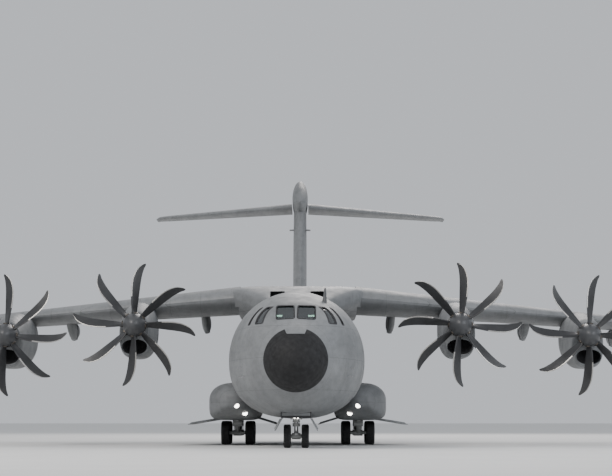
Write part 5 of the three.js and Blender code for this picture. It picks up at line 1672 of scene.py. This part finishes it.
def build_gear_doors():
    for name, spans, hinge, edge, thickness in GEAR_DOORS:
        along = Vector((edge[0] - hinge[0], edge[1] - hinge[1]))
        unit = along.normalized()
        normal = Vector((unit.y, -unit.x))
        if normal.y < 0:
            normal = -normal

        def corner(share, rise):
            spot = Vector(hinge) + along * share + normal * rise
            return (spot.x, spot.y)

        def four(near, far, low, top_near, top_far, high):
            """An outline with four corners: its foot at one rise, its crest at another."""
            return [corner(near, low), corner(far, low), corner(top_far, high), corner(top_near, high)]

        parts = []
        for start, end in spans:
            half = thickness / 2
            outline = four(0, 1, -half, 0, 1, half)
            parts.append(softened(prism("leaf", outline, "y", y_of(start), y_of(end)), 0.01))
            # stiffeners on the face that lies inside when shut
            foot, crest = RIB_SHARES
            rib = four(*foot, half - 0.002, *crest, half + 0.05)
            for k in range(RIBS):
                at = start + 0.12 + (end - start - 0.24) * k / (RIBS - 1)
                parts.append(softened(prism("rib", rib, "y", y_of(at - 0.02), y_of(at + 0.02)), 0.006))
            for share in STRINGERS:
                sides = (share - 0.02, share + 0.02)
                strip = four(*sides, half - 0.002, *sides, half + 0.035)
                parts.append(prism("stringer", strip, "y", y_of(start + 0.08), y_of(end - 0.08)))
            ends = [(hinge[0], y_of(station), hinge[1]) for station in (start + 0.05, end - 0.05)]
            parts.append(bar("tube", *ends, 0.025, None, 20))
        made = joined("doors", parts)
        finish_pair(made, name + "_panels_{}", "airframe", door_paint, "composite_skin", name + "_{}", 40)


# Cockpit and hold


DISPLAYS = {"count": 5, "first": -0.72, "pitch": 0.36, "half_width": 0.15}
KNOBS_PER_DISPLAY = 3
HEAD_UP_PLACES = (-0.66, 0.6)
SEAT_X = 0.62
# half width, first and last station, bottom, top and edge radius
SEAT_FRAME = (
    (0.15, 3.62, 3.93, DECK_TOP + 0.05, 4.41, 0.03),
    (0.25, 3.5, 4.0, 4.4, 4.44, 0.015),
    (0.25, 4.06, 4.1, 4.45, 5.12, 0.015),
)
CUSHIONS = {
    "seat": (0.25, 3.46, 4.0, 4.44, 4.55, 0.045),
    "back": (0.24, 3.96, 4.06, 4.56, 5.13, 0.04),
    "head": (0.14, 3.99, 4.07, 5.14, 5.37, 0.035),
}
ARM_X = 0.29
FLOOR_RAILS = (-1.35, -0.55, 0.55, 1.35)


def build_panel():
    """The instrument panel with its displays, knobs and levers."""
    parts = [
        softened(stations_box(2.3, 2.85, 4.62, 4.93, 1.13), 0.09, 4),
        softened(stations_box(2.44, 2.7, DECK_TOP + 0.002, 4.64, 0.98), 0.02),
        softened(stations_box(2.62, 3.35, DECK_TOP + 0.002, 4.6, 0.19), 0.03),
    ]
    clear = hull("clear", RADOME_END + 0.3, NOSE_END, WALL + 0.056, 0.15)
    made = keep(joined("panel", parts), clear)
    finish_piece(made, "instrument_shroud", "airframe", panel_black, "panel_plastic", ["instrument_panel"])
    displays, controls = [], []
    half = DISPLAYS["half_width"]
    for k in range(DISPLAYS["count"]):
        x = DISPLAYS["first"] + DISPLAYS["pitch"] * k
        display = box("display", x - half, x + half, y_of(2.69), y_of(2.712), 4.3, 4.55)
        displays.append(softened(display, 0.008))
        for j in range(KNOBS_PER_DISPLAY):
            spot = (x - 0.1 + 0.1 * j, y_of(2.7), 4.25)
            controls.append(bar("knob", spot, (spot[0], y_of(2.725), spot[2]), 0.016, 0.013, 14))
    for side in (-1, 1):
        for k in range(2):
            root = Vector((side * (0.05 + 0.06 * k), y_of(3.0), 4.6))
            route = [root, root + Vector((0, -0.02, 0.06)), root + Vector((0, -0.05, 0.11))]
            controls.append(pipe("lever", route, 0.012, 10))
    finish_piece(joined("displays", displays), "cockpit_displays", "airframe", screen_glow, "panel_plastic")
    finish_piece(joined("controls", controls), "cockpit_controls", "airframe", metal_dark, "panel_plastic")

    glows = []
    for x in HEAD_UP_PLACES:
        glows.append(softened(box("glow", x - 0.12, x + 0.12, y_of(2.62), y_of(2.64), 5.155, 5.22), 0.006))
    finish_piece(joined("glows", glows), "head_up_displays", "airframe", hud_green, "window_glass")


def build_seats():
    rail = stations_box(3.5, 4.1, DECK_TOP + 0.002, DECK_TOP + 0.06, 0.95)
    frames, cushions = [softened(rail, 0.01)], {}
    for label, side in SIDES:
        x = side * SEAT_X

        def part(half_width, start, end, z0, z1, width, segments=3):
            made = box("part", x - half_width, x + half_width, y_of(start), y_of(end), z0, z1)
            return softened(made, width, segments)

        frames += [part(*sizes) for sizes in SEAT_FRAME]
        for arm in (-1, 1):
            at = x + arm * ARM_X
            rest = box("rest", at - 0.03, at + 0.03, y_of(3.6), y_of(4.0), 4.66, 4.72)
            frames.append(softened(rest, 0.02, 3))
            ends = [(at, y_of(3.95), 4.68), (x + arm * 0.24, y_of(4.06), 4.68)]
            frames.append(bar("arm post", *ends, 0.02, None, 14))
        frames.append(bar("head post", (x, y_of(4.05), 5.0), (x, y_of(4.05), 5.2), 0.02, None, 12))
        for name, sizes in CUSHIONS.items():
            cushions[f"{name}_cushion_{label}"] = part(*sizes, 4)
    made = joined("seats", frames)
    finish_piece(made, "seat_frames", "airframe", metal_dark, "seat_fabric", ["pilot_seats"])
    for name, cushion in cushions.items():
        finish_piece(cushion, name, "airframe", seat_fabric, "seat_fabric", (), 60)


def build_hold():
    rails = []
    span = (y_of(NOSE_END + 0.6), y_of(RAMP["station"] - 0.7))
    for x in FLOOR_RAILS:
        rail = box("rail", x - 0.05, x + 0.05, *span, FLOOR_TOP - 0.002, FLOOR_TOP + 0.02)
        rails.append(softened(rail, 0.006))
    finish_piece(joined("rails", rails), "floor_rails", "airframe", metal_bare, "cargo_floor")


def dress_cad_nodes():
    """Procedural finishes for the CAD nodes that stay in sight."""
    finishes = {"cockpit_deck": inside_paint, "cargo_floor": floor_metal}
    for *_, label in ENGINES:
        finishes[f"engine_{label}"] = metal_dark
    for name, material in finishes.items():
        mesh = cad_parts[name].data
        mesh.materials.clear()
        mesh.materials.append(material)


ANTENNA = {"x": 1.13, "base": 5.73, "top": 6.4, "start": 4.15, "end": 4.75}
PROBES = ((3.95, 2.17, 3.18), (3.75, 2.09, 2.84))  # station, distance out, height


def build_small_forms():
    """The roof antenna and the air data probes."""
    blade = ANTENNA

    def ring(z, start, end, half_width, middle):
        outline = section(1.0, 1.0, 0.0, 12)
        return [(middle + 2 * v * half_width, y_of(start) + u * (end - start), z) for u, v in outline]

    rings = []
    for k in range(9):
        t = k / 8
        z = blade["base"] + (blade["top"] - blade["base"]) * t
        half_width = (0.1 - 0.046 * t) * (1 - 0.35 * t**2)
        rings.append(ring(z, blade["start"] + 0.3 * t, blade["end"], half_width, blade["x"] + 0.03 * t))
    finish_piece(loft("antenna", rings), "roof_antenna", "airframe", spinner_paint, "painted_skin")

    tubes = []
    for _, side in SIDES:
        for station, x, z in PROBES:
            root = (side * (x - 0.1), y_of(station + 0.04), z)
            elbow = (side * (x + 0.14), y_of(station), z)
            tubes.append(bar("stub", root, elbow, 0.035, 0.022, 20))
            tubes.append(bar("tube", elbow, (elbow[0], y_of(station - 0.24), z), 0.022, 0.012, 20))
    finish_piece(joined("tubes", tubes), "air_data_probes", "airframe", metal_bare, "painted_skin", (), 50)


build_nose()
build_small_forms()
build_panel()
build_seats()
build_forward()
build_center()
build_rear()
build_hold()
build_fairing()
build_wings()
build_engines()
build_fin()
build_tailplane()
build_sponsons()
build_main_gear()
build_nose_gear()
build_gear_doors()
dress_cad_nodes()

# Lights and camera

PHOTO_FOCAL_PX = 2150
PHOTO_WIDTH_PX, PHOTO_HEIGHT_PX = 612, 476
CAMERA_AHEAD = 81.6
CAMERA_HEIGHT = 1.08
CAMERA_ASIDE = 0.528
CAMERA_TURN = 0.0016
HORIZON_PX = 421
SENSOR_MM = 36.0
FLOOR_REACH = 900


def build_stage():
    camera_data = bpy.data.cameras.new("camera")
    camera_data.sensor_width = SENSOR_MM
    camera_data.lens = PHOTO_FOCAL_PX / PHOTO_WIDTH_PX * SENSOR_MM
    camera_data.clip_end = 500
    pitch = math.atan((HORIZON_PX - PHOTO_HEIGHT_PX / 2) / PHOTO_FOCAL_PX)
    camera = bpy.data.objects.new("camera", camera_data)
    camera.location = (CAMERA_ASIDE * SCALE, y_of(-CAMERA_AHEAD) * SCALE, CAMERA_HEIGHT * SCALE)
    camera.rotation_euler = (math.pi / 2 + pitch, 0, CAMERA_TURN)
    bpy.context.scene.collection.objects.link(camera)
    bpy.context.scene.camera = camera

    reach = FLOOR_REACH
    corners = [(-reach, -reach, 0), (reach, -reach, 0), (reach, reach, 0), (-reach, reach, 0)]
    floor = mesh_object("floor", corners, [(0, 1, 2, 3)])
    floor_paint = Nodes("floor_paint")
    floor_paint.link(
        floor_paint.ramp(floor_paint.noise(0.6, 3), [(0.3, (0.7, 0.7, 0.69)), (0.7, (0.74, 0.74, 0.73))]),
        floor_paint.shader.inputs["Base Color"],
    )
    floor_paint.shader.inputs["Roughness"].default_value = 0.85
    floor.data.materials.append(floor_paint.material)

    world = bpy.data.worlds.new("studio")
    world.use_nodes = True
    world.node_tree.nodes["Background"].inputs["Color"].default_value = (0.82, 0.85, 0.9, 1)
    world.node_tree.nodes["Background"].inputs["Strength"].default_value = 0.75
    bpy.context.scene.world = world

    def area(name, place, size, power, colour):
        light = bpy.data.lights.new(name, "AREA")
        light.size = size
        light.energy = power
        light.color = colour
        lamp = bpy.data.objects.new(name, light)
        lamp.location = place
        lamp.rotation_euler = (Vector((0, 0, 2)) - Vector(place)).to_track_quat("-Z", "Y").to_euler()
        bpy.context.scene.collection.objects.link(lamp)

    area("key", (-22, -30, 26), 16, 9000, (1.0, 0.96, 0.92))
    area("fill", (26, -24, 14), 18, 4200, (0.92, 0.95, 1.0))
    area("rim", (6, 32, 24), 16, 6000, (1.0, 0.95, 0.92))


build_stage()
